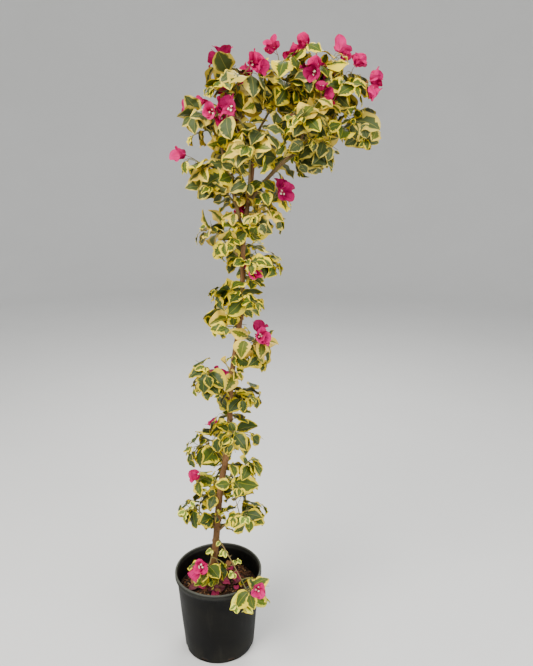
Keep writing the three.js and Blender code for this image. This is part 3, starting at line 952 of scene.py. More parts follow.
# A bract: its rows of corners, the places of the corners across each half, and the strip, length and
# material of its midrib
BRACT_STATIONS = 15
BRACT_HALF = [0.03, 0.18, 0.36, 0.52, 0.68, 0.84, 1]
BRACT_ACROSS = np.array([-x for x in reversed(BRACT_HALF)] + BRACT_HALF)
BRACT_RIB = {"column": 6, "rows": 11, "material": 3, "depth": 0.03, "width": 0.1}
BRACT_SHAPE = {
    "base": 0.5,
    "tip": (0.55, 0.7),
    "cupping": (-0.5, -0.1),
    "turning_back": (0.3, 0.9),
    "cup": (0.15, 0.55),
}
# The folds of a bract's paper: their depths, and their waves across its half width and along it
CRUMPLES = ((0.03, 7, 4), (0.026, 3, -9))
VEINS = (0.009, 13, -19)
RUFFLE = (0.06, 11)


def bract_relief(across, along, phases):
    """How crumples, side veins, midrib and ruffled edges lift a bract, as shares of its width."""
    relief = 0.0
    for (depth, waves_across, waves_along), phase in zip(CRUMPLES, phases):
        relief += depth * np.sin(across * waves_across + along * waves_along + phase)
    depth, waves_across, waves_along = VEINS
    relief += depth * np.sin(np.abs(across) * waves_across + along * waves_along + phases[2])
    relief -= BRACT_RIB["depth"] * np.exp(-((across / BRACT_RIB["width"]) ** 2))
    depth, waves_along = RUFFLE
    phase = phases[2] + np.sign(across) * phases[3]
    return relief + depth * across**2 * np.sin(along * waves_along + phase)


def add_bract(shape, foot, heading, facing, length, width, material, draw):
    """A papery bract: round and pointed, cupped, crumpled and turned back at its tip."""
    t = np.linspace(0, 1, BRACT_STATIONS)
    half = outline(t, BRACT_SHAPE["base"], draw(*BRACT_SHAPE["tip"])) * width / 2
    angles = draw(*BRACT_SHAPE["cupping"]) * np.sin(math.pi * t)
    angles += draw(*BRACT_SHAPE["turning_back"]) * t**2
    place = blade_frame(foot, heading, facing, length, angles)
    cup = draw(*BRACT_SHAPE["cup"])
    phases = [draw(*ANY_TURN) for _ in range(4)]
    rows = []
    for i in range(BRACT_STATIONS):
        x = BRACT_ACROSS * half[i]
        relief = bract_relief(BRACT_ACROSS, t[i], phases)
        z = cup * x * x / (width / 2) + relief * width * math.sin(math.pi * t[i]) ** 0.5
        rows.append(place(i, x, z))
    strips = len(BRACT_ACROSS) - 1
    materials = np.full((BRACT_STATIONS - 1, strips), material)
    materials[: BRACT_RIB["rows"], BRACT_RIB["column"]] = BRACT_RIB["material"]
    shape.add(np.concatenate(rows), grid_faces(BRACT_STATIONS, strips + 1, False), materials.ravel())


# A floret's length, how its tube bends and widens, and the reach and rise of its points and notches
FLORET = {
    "lengths": (0.011, 0.015),
    "bend": (-0.15, 0.15),
    "radius": 0.0009,
    "mouth_radius": 0.0012,
    "points": 5,
    "point": (0.0042, 0.0008),
    "notch": (0.0018, 0.0),
}


def add_floret(shape, foot, heading, draw):
    """A slim tube that opens into a small star."""
    length = draw(*FLORET["lengths"])
    bend = FLORET["bend"]
    end = foot + unit(heading + np.array([draw(*bend), draw(*bend), 0])) * length
    tube = Path([foot, end])
    add_tube(shape, tube, FLORET["radius"], FLORET["mouth_radius"], sides=6, rings=4, material=1)
    along = unit(end - foot)
    side = unit(np.cross(along, UP + RIGHT * 0.3))
    other = np.cross(along, side)
    corners = [end]
    count = FLORET["points"] * 2
    for j in range(count):
        turn = 2 * math.pi * j / count
        reach, rise = FLORET["notch"] if j % 2 else FLORET["point"]
        outward = side * math.cos(turn) + other * math.sin(turn)
        corners.append(end + outward * reach + along * rise)
    faces = [(0, j + 1, (j + 1) % count + 1) for j in range(count)]
    shape.add(corners, faces, 0)


# Materials

# Screen colours of each bark: its dark and light streaks, its green cast, and how green it is
BARKS = {
    "bark_old": ((70, 46, 22), (128, 88, 46), (96, 86, 40), 0.25),
    "bark_young": ((88, 66, 38), (140, 112, 70), (104, 104, 50), 0.45),
    "twig_green": ((92, 82, 42), (142, 128, 72), (108, 112, 52), 0.7),
    "thorn_wood": ((120, 96, 64), (164, 138, 98), (126, 122, 76), 0.3),
}
BARK_FLECKS = (164, 134, 92)
# Screen colour, roughness, grain and depth of relief of the fine living parts
FINE_PARTS = {
    "leaf_stalk": ((166, 158, 84), 0.5, 500, 0.0002),
    "floret_cream": ((244, 236, 196), 0.5, 700, 0.0002),
    "floret_tube": ((206, 84, 108), 0.5, 700, 0.0002),
    "bloom_stalk": ((150, 92, 70), 0.55, 600, 0.0002),
}
# Roughness, grain, depth of relief and, where it differs, sheen of the leaves and bracts
LEAF_SURFACE = (0.52, 330, 0.0007)
BRACT_SURFACE = (0.66, 260, 0.0011, 0.16)
FALLEN_SURFACE = (0.75, 300, 0.0014)
# Screen colours of the marks on the pot and of the painted highlight along its rim, and the sheen of its
# plastic
POT_MARKS = {"water": (46, 45, 42), "dust": (62, 59, 50), "scuffs": (84, 83, 78), "rim": (88, 89, 82)}
POT_SHEEN = 0.09
# Dark and light screen colours of the bed and of each kind of chip
BED_SHADES = ((38, 27, 19), (78, 56, 38))
CHIP_SHADES = [
    ((26, 18, 13), (56, 38, 26)),
    ((44, 27, 17), (92, 58, 35)),
    ((76, 45, 26), (132, 86, 50)),
    ((112, 80, 50), (172, 132, 88)),
]
# Fallen bracts fade from magenta through dull purple, dry leaves are tan, and the last is midribs
FALLEN_COLOURS = [(142, 26, 68), (98, 42, 52), (136, 92, 52), (82, 34, 38)]


def new_material(name):
    """A new material with its node tree and shader."""
    material = bpy.data.materials.new(name)
    material.use_nodes = True
    return material, material.node_tree, material.node_tree.nodes["Principled BSDF"]


def linear(colour):
    """Screen colour from 0 to 255 as the light values that shaders take."""
    shares = [c / 255 for c in colour]
    return [c / 12.92 if c <= 0.04045 else ((c + 0.055) / 1.055) ** 2.4 for c in shares] + [1.0]


def noise(tree, coordinates, scale=1.0, detail=4, roughness=0.6, distortion=0.0):
    """Noise from 0 to 1 at the given coordinates."""
    node = tree.nodes.new("ShaderNodeTexNoise")
    node.inputs["Scale"].default_value = scale
    node.inputs["Detail"].default_value = detail
    node.inputs["Roughness"].default_value = roughness
    node.inputs["Distortion"].default_value = distortion
    tree.links.new(coordinates, node.inputs["Vector"])
    return node.outputs["Fac"]


def ramp(tree, value, stops):
    """Maps a value through colour stops of (position, colour)."""
    node = tree.nodes.new("ShaderNodeValToRGB")
    elements = node.color_ramp.elements
    while len(elements) < len(stops):
        elements.new(0.5)
    for element, (position, colour) in zip(elements, stops):
        element.position = position
        element.color = colour
    tree.links.new(value, node.inputs["Fac"])
    return node.outputs["Color"]


def grey_ramp(tree, value, *stops):
    """Maps a value through stops of (position, grey level)."""
    return ramp(tree, value, [(position, (grey, grey, grey, 1.0)) for position, grey in stops])


def mix(tree, factor, first, second, blend="MIX"):
    """Mixes two colours by a factor; each may be a value or another node's output."""
    node = tree.nodes.new("ShaderNodeMix")
    node.data_type = "RGBA"
    node.blend_type = blend
    for socket, value in (("Factor", factor), ("A", first), ("B", second)):
        target = next(s for s in node.inputs if s.name == socket and s.enabled)
        if isinstance(value, bpy.types.NodeSocket):
            tree.links.new(value, target)
        else:
            target.default_value = value
    return next(s for s in node.outputs if s.enabled)


def placed(tree):
    """Object coordinates."""
    return tree.nodes.new("ShaderNodeTexCoord").outputs["Object"]


def stretched(tree, scale):
    """Object coordinates stretched by a scale for each axis."""
    mapping = tree.nodes.new("ShaderNodeMapping")
    mapping.inputs["Scale"].default_value = scale
    tree.links.new(placed(tree), mapping.inputs["Vector"])
    return mapping.outputs["Vector"]


def bump(tree, shader, height, strength, distance):
    """Raises a shader's surface by a height from 0 to 1."""
    node = tree.nodes.new("ShaderNodeBump")
    node.inputs["Strength"].default_value = strength
    node.inputs["Distance"].default_value = distance
    tree.links.new(height, node.inputs["Height"])
    tree.links.new(node.outputs["Normal"], shader.inputs["Normal"])


def living_material(name, colour, roughness, grain, depth, specular=0.3):
    """A leaf, bract or stalk: one plain colour, with an uneven sheen and fine relief in nodes."""
    material, tree, shader = new_material(name)
    shader.inputs["Base Color"].default_value = linear(colour)
    shader.inputs["Specular IOR Level"].default_value = specular
    cells = noise(tree, stretched(tree, (grain, grain, grain)), detail=3, distortion=0.3)
    rough = grey_ramp(tree, cells, (0.3, roughness - 0.1), (0.7, roughness + 0.1))
    tree.links.new(rough, shader.inputs["Roughness"])
    bump(tree, shader, cells, strength=0.5, distance=depth)
    return material


def living_materials(name, colours, surface):
    """Numbered materials of one surface in several colours."""
    return [living_material(f"{name}_{i}", colour, *surface) for i, colour in enumerate(colours)]


def fine_part(name):
    """The material of a stalk or a floret."""
    return living_material(name, *FINE_PARTS[name])


def bark_material(name):
    """Thin bark: streaks along the stem, paler flecks and a green cast where it is young."""
    dark, light, green, greenness = BARKS[name]
    material, tree, shader = new_material(name)
    along_stem = stretched(tree, (260, 260, 26))
    streaks = noise(tree, along_stem, detail=6, roughness=0.65, distortion=0.4)
    colour = ramp(tree, streaks, [(0.3, linear(dark)), (0.52, linear(light)), (0.72, linear(dark))])
    patches = noise(tree, stretched(tree, (14, 14, 9)), detail=3)
    shift = greenness * 0.35
    cast = grey_ramp(tree, patches, (0.62 - shift, 0), (0.8 - shift, greenness))
    colour = mix(tree, cast, colour, linear(green))
    flecks = noise(tree, stretched(tree, (700, 700, 500)), detail=2)
    colour = mix(tree, grey_ramp(tree, flecks, (0.66, 0), (0.74, 0.45)), colour, linear(BARK_FLECKS))
    tree.links.new(colour, shader.inputs["Base Color"])
    rough = grey_ramp(tree, streaks, (0.2, 0.62), (0.8, 0.88))
    tree.links.new(rough, shader.inputs["Roughness"])
    bump(tree, shader, streaks, strength=0.55, distance=0.0012)
    return material


def pot_material(colour):
    """Moulded black plastic: satin, with dust low down, water marks, fine scuffs and a painted highlight
    along the rim.
    """
    material, tree, shader = new_material("pot_black_plastic")
    position = placed(tree)
    split = tree.nodes.new("ShaderNodeSeparateXYZ")
    tree.links.new(position, split.inputs["Vector"])
    height = split.outputs["Z"]
    low = grey_ramp(tree, height, (0.0, 0.5), (0.08, 0.06), (0.26, 0.2))
    # Painted highlight: a pale line at the rim's groove and a pale band along the bead's top
    rim_highlight = grey_ramp(tree, height, (0.257, 0), (0.262, 0.26), (0.27, 0.16), (0.2745, 0.9))
    clouds = noise(tree, position, 11, detail=6, roughness=0.62, distortion=0.6)
    dust = mix(tree, 1.0, low, grey_ramp(tree, clouds, (0.42, 0), (0.72, 1)), "MULTIPLY")
    downwards = stretched(tree, (34, 34, 3.2))
    runs = noise(tree, downwards, detail=5, roughness=0.7, distortion=0.25)
    crosswise = stretched(tree, (120, 120, 900))
    scratches = noise(tree, crosswise, detail=2, roughness=0.5, distortion=1.4)
    base = tuple(colour) + (1.0,)
    for mark, amount in (
        ("water", grey_ramp(tree, runs, (0.55, 0), (0.68, 0.22))),
        ("dust", dust),
        ("scuffs", grey_ramp(tree, scratches, (0.7, 0), (0.76, 0.3))),
        ("rim", rim_highlight),
    ):
        base = mix(tree, amount, base, linear(POT_MARKS[mark]))
    tree.links.new(base, shader.inputs["Base Color"])
    rough = grey_ramp(tree, clouds, (0.25, 0.42), (0.75, 0.62))
    tree.links.new(rough, shader.inputs["Roughness"])
    shader.inputs["Specular IOR Level"].default_value = POT_SHEEN
    pebbles = noise(tree, position, 620, detail=2, roughness=0.5)
    bump(tree, shader, pebbles, strength=0.16, distance=0.0006)
    return material


def compost_material(name, dark, light):
    """Bark compost: blotches from dark to light, streaked by fibres."""
    material, tree, shader = new_material(name)
    coarse = noise(tree, placed(tree), 46, detail=6, roughness=0.7)
    crosswise = stretched(tree, (420, 130, 420))
    fibre = noise(tree, crosswise, detail=5, roughness=0.7, distortion=0.8)
    colour = ramp(tree, coarse, [(0.3, linear(dark)), (0.68, linear(light))])
    colour = mix(tree, 1.0, colour, grey_ramp(tree, fibre, (0.3, 0.55), (0.7, 1.25)), "MULTIPLY")
    tree.links.new(colour, shader.inputs["Base Color"])
    shader.inputs["Roughness"].default_value = 0.9
    shader.inputs["Specular IOR Level"].default_value = 0.25
    bump(tree, shader, fibre, strength=0.7, distance=0.0015)
    return material


# Stems

# How far apart the nodes of each kind of limb lie, and how deep its ridges are
BARK_NODES = {"trunk": (0.047, 0.05), "cane": (0.036, 0.045), "bough": (0.028, 0.04)}
# Ridges and grain of bark: their depth, their waves round and along the stem, and the grain's fading;
# then a leaf scar's height in metres, width round the stem, swelling and depth
RIDGES = ((0.45, 5, 31), (0.35, 8, -23))
BARK_GRAIN = (0.3, 13, 210, 95)
SCAR = {"height": 0.0045, "width": 0.35, "swelling": 0.07, "depth": 0.22}
# The corners round each kind of limb and how far apart its rings lie
CANE_MESH = (16, 0.0028)
BOUGH_MESH = (12, 0.003)
# How the trunk's rings crowd towards its foot, and how deep the lobes of its flare are
TRUNK_CROWDING = 1.1
FLARE_LOBE = 0.3
THORN = {
    "trunk_span": (0.32, 1.55),
    "trunk_radius": 0.0085,
    "trunk_spacing": 0.062,
    "cane_spacing": 0.05,
    "bough_spacing": 0.034,
    "places": (-0.25, 0.25),
    "turn_looseness": (-0.5, 0.5),
    "lengths": (0.007, 0.012),
    "sunk": 0.55,
    "curve": 0.06,
    "back": 0.25,
    "radius": 0.0011,
    "tip_radius": 0.0002,
}
# The radius under which a twig is fine, and the corners round and rings along fine and other twigs
FINE_TWIG = 0.0015
FINE_TWIG_MESH = (5, 5)
TWIG_MESH = (7, 12)
PETIOLE = {"radius": 0.0008, "tip_radius": 0.0006, "lift": 0.0012}


def bark_relief(draw, node_spacing, depth):
    """Shallow ridges along a stem, with a swelling and a leaf scar at each node."""
    phases = [draw(*ANY_TURN) for _ in range(5)]

    def relief(along, turns):
        bark = 0.0
        for (ridge, waves_round, waves_along), phase in zip(RIDGES, phases):
            bark += ridge * np.sin(turns * waves_round + along * waves_along + phase)
        grain, grain_round, grain_along, grain_fade = BARK_GRAIN
        fade = math.sin(along * grain_fade + phases[3])
        bark += grain * np.sin(turns * grain_round + along * grain_along + phases[2]) * fade
        node = round(along / node_spacing)
        away = abs(along / node_spacing - node) * node_spacing
        from_scar = turns - (node * NODE_TURN + phases[4])
        from_scar = np.mod(from_scar + math.pi, 2 * math.pi) - math.pi
        swelling = math.exp(-((away / SCAR["height"]) ** 2))
        scar = swelling * np.exp(-(from_scar**2) / SCAR["width"])
        return depth * bark + SCAR["swelling"] * swelling + SCAR["depth"] * scar

    return relief


def make_trunk(stems):
    """The trunk in level rings, with its flare, ridges and leaf scars."""
    shape = Shape()
    sides = stems.trunk_sides
    rings = stems.trunk_rings
    relief = bark_relief(seeded(SEEDS["trunk"]), *BARK_NODES["trunk"])
    turns = round_turns(sides)
    shares = np.linspace(0, 1, rings) ** TRUNK_CROWDING
    heights = TRUNK["foot"] + (TRUNK["tip"] - TRUNK["foot"]) * shares
    lobes = 1 - FLARE_LOBE + FLARE_LOBE * np.cos(TRUNK["flare_lobes"] * turns)
    rows = []
    for z in heights:
        flare = TRUNK["flare"] * lobes * math.exp(-(z - TRUNK["foot"]) / TRUNK["flare_height"])
        reach = (float(trunk_radius(z)) + flare) * (1 + relief(z, turns))
        rows.append(ring(trunk_at(z), RIGHT, BACK, turns, reach))
    corners = np.concatenate(rows + [trunk_at(heights[:1]), trunk_at(heights[-1:])])
    shape.add(corners, capped_faces(rings, sides))
    shape.build("trunk_bark", [bark_material("bark_old")], "bark", ["trunk"])


def make_limbs(plant):
    """The canes and boughs, greener than the trunk, with thorns at their nodes."""
    bark = bark_material("bark_young")
    canes = Shape()
    thorns = Shape()
    draw = seeded(SEEDS["limbs"])
    sides, spacing = CANE_MESH
    for name, path in plant.canes.items():
        rings = int(path.length / spacing)
        relief = bark_relief(draw, *BARK_NODES["cane"])
        cane = CANES[name]
        curve = path.stretch(0, 1, 60)
        add_tube(canes, curve, cane["radius"], cane["tip_radius"], sides, rings, relief=relief)
        add_thorns(thorns, path, cane["radius"], THORN["cane_spacing"], draw)
    canes.build("cane_bark", [bark], "bark", list(plant.canes))
    boughs = Shape()
    sides, spacing = BOUGH_MESH
    for name, path in plant.boughs.items():
        rings = max(8, int(path.length / spacing))
        relief = bark_relief(draw, *BARK_NODES["bough"])
        limb = TRAILING if "trailing" in name else BOUGH
        add_tube(boughs, path, limb["radius"], limb["tip_radius"], sides, rings, relief=relief)
        add_thorns(thorns, path, BOUGH["radius"], THORN["bough_spacing"], draw)
    boughs.build("bough_bark", [bark], "bark", list(plant.boughs))
    trunk = Path(trunk_at(np.linspace(*THORN["trunk_span"], 60)))
    add_thorns(thorns, trunk, THORN["trunk_radius"], THORN["trunk_spacing"], draw)
    thorns.build("thorns", [bark_material("thorn_wood")], "bark")


def add_thorns(shape, path, radius, spacing, draw):
    """Short thorns that curve back, one at each node and turning round the stem."""
    count = int(path.length / spacing)
    for i in range(1, count):
        share = (i + draw(*THORN["places"])) / count
        along = path.heading(share)
        side = side_of(along, i * NODE_TURN + draw(*THORN["turn_looseness"]))
        foot = path.at(share) + side * radius * THORN["sunk"]
        length = draw(*THORN["lengths"])
        tip = foot + side * length - along * length * THORN["back"]
        middle = foot + side * length * 0.5 + along * length * THORN["curve"]
        thorn = Path([foot, middle, tip])
        add_tube(shape, thorn, THORN["radius"], THORN["tip_radius"], sides=6, rings=5)


def make_twigs(growth, foliage):
    """Every fine stem: the masses' own stems, twigs, side twigs and the stalks of the leaves."""
    shape = Shape()
    for twig in growth.twigs:
        sides, rings = FINE_TWIG_MESH if twig.radius < FINE_TWIG else TWIG_MESH
        add_tube(shape, twig.path, twig.radius, twig.tip_radius, sides, rings)
    for leaf in growth.leaves:
        petiole = foliage.petiole_length * leaf.size
        middle = leaf.foot + leaf.heading * petiole * 0.5 + UP * PETIOLE["lift"]
        path = Path([leaf.foot, middle, leaf.foot + leaf.heading * petiole])
        add_tube(shape, path, PETIOLE["radius"], PETIOLE["tip_radius"], sides=4, rings=3, material=1)
    shape.build("twigs", [bark_material("twig_green"), fine_part("leaf_stalk")], "bark")


# Leaves and blossom in their places

# How much the width of leaves varies, and how clusters and blooms of three bracts do
LEAF_WIDTHS = (0.88, 1.08)
CLUSTER = {"lift": 0.1, "spread": 0.9, "lengths": (0.008, 0.02)}
BLOOM_STALK = {"radius": 0.0008, "tip_radius": 0.0007}
BLOOM_SHAPE = {
    "bracts": 3,
    "sizes": (0.7, 1.08),
    "openings": (0.45, 1.1),
    "bract_openings": (0.8, 1.2),
    "droop": 0.25,
    "facing_in": 0.4,
    "bract_lengths": (0.85, 1.1),
    "floret_out": 0.0015,
    "floret_lean": 0.35,
}
# The bracts' deeper shade, how far their lighter one goes to white, and the shade of their midribs
BRACT_DEEPER = 0.84
BRACT_LIGHTER = 0.06
BRACT_RIB_SHADE = 0.7
BRACT_SHADES = 3


def leaf_materials(foliage):
    """For each kind of leaf a centre, an edge and a shade between them."""
    materials = []
    for kind in LEAF_KINDS:
        centre = np.array(getattr(foliage, kind + "_centre"))
        edge = np.array(getattr(foliage, kind + "_edge"))
        middle = centre + (edge - centre) * MIDDLE_SHARE
        for zone, colour in zip(ZONES, (centre, middle, edge)):
            materials.append(living_material(f"leaf_{kind}_{zone}", colour * 255, *LEAF_SURFACE))
    return materials


def leaf_piece(region, x):
    """The name of the piece that a leaf or a mass at x belongs to; the head is split in two."""
    if region != "head":
        return "leaves_" + region
    return "leaves_head_left" if x < HEAD_MIDDLE else "leaves_head_right"


def make_leaves(growth, foliage):
    """All the leaves: the head's in two pieces, then the column's and the low sprays'."""
    shapes = {}
    replaced = {}
    draw = seeded(SEEDS["leaves"])
    for mass in growth.plant.masses:
        name = leaf_piece(region_of(mass.name), mass.centre[0])
        shapes.setdefault(name, Shape())
        replaced.setdefault(name, []).append(mass.name)
    for leaf in growth.leaves:
        base = leaf.foot + leaf.heading * foliage.petiole_length * leaf.size
        length = foliage.leaf_length * leaf.size
        width = foliage.leaf_width * leaf.size * draw(*LEAF_WIDTHS)
        first = LEAF_KINDS.index(leaf.kind) * len(ZONES)
        green = GREEN_SHARES[leaf.kind] if draw() > PALE_CHANCE else PALE_GREEN
        shape = shapes[leaf_piece(leaf.region, leaf.foot[0])]
        add_leaf(shape, base, leaf.heading, leaf.facing, length, width, first, green, draw)
    materials = leaf_materials(foliage)
    for name, shape in shapes.items():
        shape.build(name, materials, "foliage", replaced[name])


def make_blossom(growth, blossom):
    """Clusters of three-bract blooms at the twigs' ends, with cream florets inside."""
    bracts = Shape()
    florets = Shape()
    stalks = Shape()
    draw = seeded(SEEDS["blossom"])
    for bloom in growth.blooms:
        count = 1 + int(draw() * blossom.most_blooms)
        for i in range(count):
            towards = ball_direction(i, count, draw(*ANY_TURN)) * CLUSTER["spread"]
            spread = unit(bloom.heading + UP * CLUSTER["lift"] + towards)
            end = bloom.foot + spread * draw(*CLUSTER["lengths"])
            stalk = Path([bloom.foot, end])
            add_tube(stalks, stalk, BLOOM_STALK["radius"], BLOOM_STALK["tip_radius"], sides=5, rings=3)
            add_bloom(bracts, florets, end, spread, blossom, int(draw() * BRACT_SHADES), draw)
    bracts.build("bracts", bract_materials(blossom), "foliage")
    florets.build("florets", [fine_part("floret_cream"), fine_part("floret_tube")], "foliage")
    stalks.build("bloom_stalks", [fine_part("bloom_stalk")], "foliage")


def bract_materials(blossom):
    """The bracts' magenta in a full, a deep and a light shade, and that of their midribs."""
    full = np.array(blossom.bract_colour)
    lighter = full + (1 - full) * BRACT_LIGHTER
    shades = (full, full * BRACT_DEEPER, lighter, full * BRACT_RIB_SHADE)
    return living_materials("bract", [shade * 255 for shade in shades], BRACT_SURFACE)


def add_bloom(bracts, florets, foot, axis, blossom, shade, draw):
    """Three bracts, each with a floret inside, from half shut to wide open."""
    across = unit(np.cross(axis, RIGHT))
    first = draw(*ANY_TURN)
    size = draw(*BLOOM_SHAPE["sizes"])
    opening = draw(*BLOOM_SHAPE["openings"])
    for k in range(BLOOM_SHAPE["bracts"]):
        side = rotated(across, axis, first + k * 2 * math.pi / BLOOM_SHAPE["bracts"])
        outward = side * opening * draw(*BLOOM_SHAPE["bract_openings"])
        heading = unit(axis + outward - UP * BLOOM_SHAPE["droop"])
        facing = axis - side * BLOOM_SHAPE["facing_in"]
        length = blossom.bract_length * size * draw(*BLOOM_SHAPE["bract_lengths"])
        add_bract(bracts, foot, heading, facing, length, blossom.bract_width * size, shade, draw)
        floret_foot = foot + side * BLOOM_SHAPE["floret_out"]
        add_floret(florets, floret_foot, unit(axis + side * BLOOM_SHAPE["floret_lean"]), draw)


# The pot

# The groove under the rim's bead, as points so far in from the rim's widest and down from its top
RIM_GROOVE = (
    (0, 0.0115),
    (0.0002, 0.0094),
    (0.0018, 0.0084),
    (0.0019, 0.0074),
    (0.0006, 0.0064),
    (0, 0.005),
)
BEAD_ROUND = 0.0032
# The step from the wall to the rim, as points so far out from the wall and down from the rim's lower
# edge, and its round; then the same for the points where the inside leaves the rim
STEP = ((0.0004, 0.0045), (0.0026, 0.0022))
STEP_ROUND = 0.0022
INNER_LIP = (0.0016, 0.006)
INNER_STEP = 0.004
# The drain recesses: the heights between which and the radius beyond which they lie, and their sizes
DRAIN = {"low": 0.002, "high": 0.012, "outside": 0.105, "half_width": 0.009, "depth": 0.008}
POT_SIDES = 160
# The radius beyond which the wall is uneven, and its waves: size, number, slant and start
UNEVEN_FROM = 0.11
WALL_WAVES = ((0.0005, 2, 0, 0.6), (0.0003, 5, 30, 0))


def lathe_rows(profile, sides):
    """Rings of corners round the middle, one for each (radius, height) of a profile."""
    turns = round_turns(sides)
    return [
        np.stack([radius * np.cos(turns), radius * np.sin(turns), np.full(sides, height)], axis=1)
        for radius, height in profile
    ]


def arc(centre, radius, start, end, count):
    """Profile points on a round, from one angle to another in degrees."""
    out, up = centre
    angles = [math.radians(degrees) for degrees in np.linspace(start, end, count)]
    return [(out + radius * math.cos(angle), up + radius * math.sin(angle)) for angle in angles]


def pot_outline(pot):
    """The pot's outline: up the outside, over the rolled rim and down the inside."""
    rim = POT["rim_radius"]
    top = POT["height"]
    band = top - POT["rim_depth"]
    wall = rim - POT["rim_reach"]
    foot = POT["foot_radius"]
    low = POT["foot_round"]

    def wall_at(share, inward):
        return (foot + (wall - foot) * share - inward, low + (band - 2 * low) * share)

    outline = [(0.0, 0.0), (0.05, 0.0), (0.1, 0.0)]
    outline += arc((foot - low, low), low, -90, -8, 6)
    outline += [wall_at(share, 0) for share in np.linspace(0.04, 0.97, 30)]
    outline += [(wall + outward, band - down) for outward, down in STEP]
    outline += arc((rim - STEP_ROUND, band + STEP_ROUND), STEP_ROUND, -70, 0, 5)
    outline += [(rim - inward, top - down) for inward, down in RIM_GROOVE]
    outline += arc((rim - BEAD_ROUND, top - BEAD_ROUND), BEAD_ROUND, 0, 150, 9)
    inner = wall - pot.wall_thickness
    outline += [(inner + INNER_LIP[0], top - INNER_LIP[1]), (inner, band - INNER_STEP)]
    outline += [wall_at(share, pot.wall_thickness) for share in np.linspace(0.9, 0.1, 10)]
    outline += [(foot - 0.008, POT["floor"] + 0.0002), (0.0, POT["floor"])]
    return outline


def pot_scale(radius, height, turns):
    """How much a ring of the pot is scaled round by its uneven wall and its drain recesses."""
    scale = np.ones(len(turns))
    if radius > UNEVEN_FROM:
        for size, number, slant, start in WALL_WAVES:
            scale += size * np.sin(number * turns + height * slant + start) / radius
    if DRAIN["low"] < height < DRAIN["high"] and radius > DRAIN["outside"]:
        spacing = 2 * math.pi / POT["drains"]
        aside = np.abs(np.mod(turns / spacing, 1.0) - 0.5) * spacing * radius
        scale = np.where(aside < DRAIN["half_width"], 1 - DRAIN["depth"] / radius, scale)
    return scale


def make_pot(pot):
    """The nursery pot with its rolled rim, drain recesses and slightly uneven wall."""
    outline = pot_outline(pot)
    shape = Shape()
    rows = lathe_rows(outline, POT_SIDES)
    turns = round_turns(POT_SIDES)
    for row, (radius, height) in zip(rows, outline):
        row[:, :2] *= pot_scale(radius, height, turns)[:, None]
    shape.add(np.concatenate(rows), grid_faces(len(rows), POT_SIDES, True))
    weld(shape.build("pot_shell", [pot_material(pot.colour)], "pot", ["pot"]))


def weld(piece):
    """Joins corners that lie together, such as a turned shape's middle."""
    work = bmesh.new()
    work.from_mesh(piece.data)
    bmesh.ops.remove_doubles(work, verts=work.verts, dist=0.00002)
    bmesh.ops.recalc_face_normals(work, faces=work.faces)
    work.to_mesh(piece.data)
    work.free()


# The compost

BED = {
    "sides": 96,
    "floor": 0.0034,
    "floor_radius": 0.104,
    "wall_heights": (0.007, 0.2),
    "edge_height": 0.207,
    "rings": 30,
    "sink": 0.0015,
    "edge_fall": 0.006,
    "flat_share": 0.55,
    "waves": (0.0016, 70, 62),
    "ripples": (0.0009, 160, -140),
}
CHIP_CORNERS = [corner for corner in product((-1, 0, 1), repeat=3) if any(corner)]
# How near the middle a chip's corners lie, by how many of their places aren't 0
CHIP_ROUNDING = (0, 1.0, 0.9, 0.72)
# How often each kind of chip comes up, a chip's length, and that of every so many that is long
CHIP_MIX = (0, 0, 0, 0, 0, 1, 1, 1, 1, 2, 2, 3)
CHIP = {
    "lengths": (0.006, 0.012),
    "long_every": 13,
    "long_lengths": (0.015, 0.027),
    "widths": (0.3, 0.6),
    "thicknesses": (0.16, 0.32),
    "pitch": (-0.5, 0.5),
    "roll": (-0.45, 0.45),
    "knocks": ((0.78, 1.15), (0.72, 1.2), (0.6, 1.3)),
    "lift": (0, 0.0035),
    "from_wall": 0.004,
    "from_trunk": 0.02,
}
LITTER = {
    "from_wall": 0.03,
    "from_trunk": 0.03,
    "spread": (0.12, 1),
    "turn_looseness": (-0.3, 0.3),
    "lift": 0.0065,
    "tilt": (0.0, 0.22),
    "facing": (-0.3, 0.3),
    "lengths": (0.02, 0.038),
    "width": 0.8,
}


def fill_radius(z):
    """The radius that fills the pot at height z, clear of its wall."""
    share = (z - POT["foot_round"]) / (POT["height"] - POT["rim_depth"] - 0.009)
    outside = POT["foot_radius"] + (POT["top_radius"] - POT["foot_radius"]) * share
    return outside - POT["wall"] - 2 * CLEARANCE


def soil_height(x, y, phases):
    """Compost that is a little uneven and lower at the pot's wall."""
    out = np.hypot(x, y) / fill_radius(SOIL_TOP)
    flat = BED["flat_share"]
    fall = BED["edge_fall"] * np.clip((out - flat) / (1 - flat), 0, 1) ** 2
    depth, waves_x, waves_y = BED["waves"]
    waves = depth * np.sin(x * waves_x + phases[0]) * np.cos(y * waves_y + phases[1])
    depth, waves_x, waves_y = BED["ripples"]
    waves += depth * np.sin(x * waves_x + y * waves_y)
    return SOIL_TOP - BED["sink"] - fall + waves


def make_compost(soil):
    """Bark compost: an uneven bed with chips, dry leaves and fallen bracts on it."""
    draw = seeded(SEEDS["compost"])
    phases = [draw(*ANY_TURN), draw(*ANY_TURN)]
    sides = BED["sides"]
    turns = round_turns(sides)
    bed = Shape()
    wall = [(fill_radius(z), z) for z in BED["wall_heights"]]
    rows = lathe_rows([(0.0, BED["floor"]), (BED["floor_radius"], BED["floor"]), *wall], sides)
    for radius in np.linspace(fill_radius(BED["edge_height"]), 0.0, BED["rings"]):
        x = radius * np.cos(turns)
        y = radius * np.sin(turns)
        rows.append(np.stack([x, y, soil_height(x, y, phases)], axis=1))
    bed.add(np.concatenate(rows), grid_faces(len(rows), sides, True))
    ground = compost_material("compost_bed", *BED_SHADES)
    weld(bed.build("compost_bed", [ground], "soil", ["soil"]))
    make_chips(soil, phases, draw)
    make_litter(soil, phases, draw)


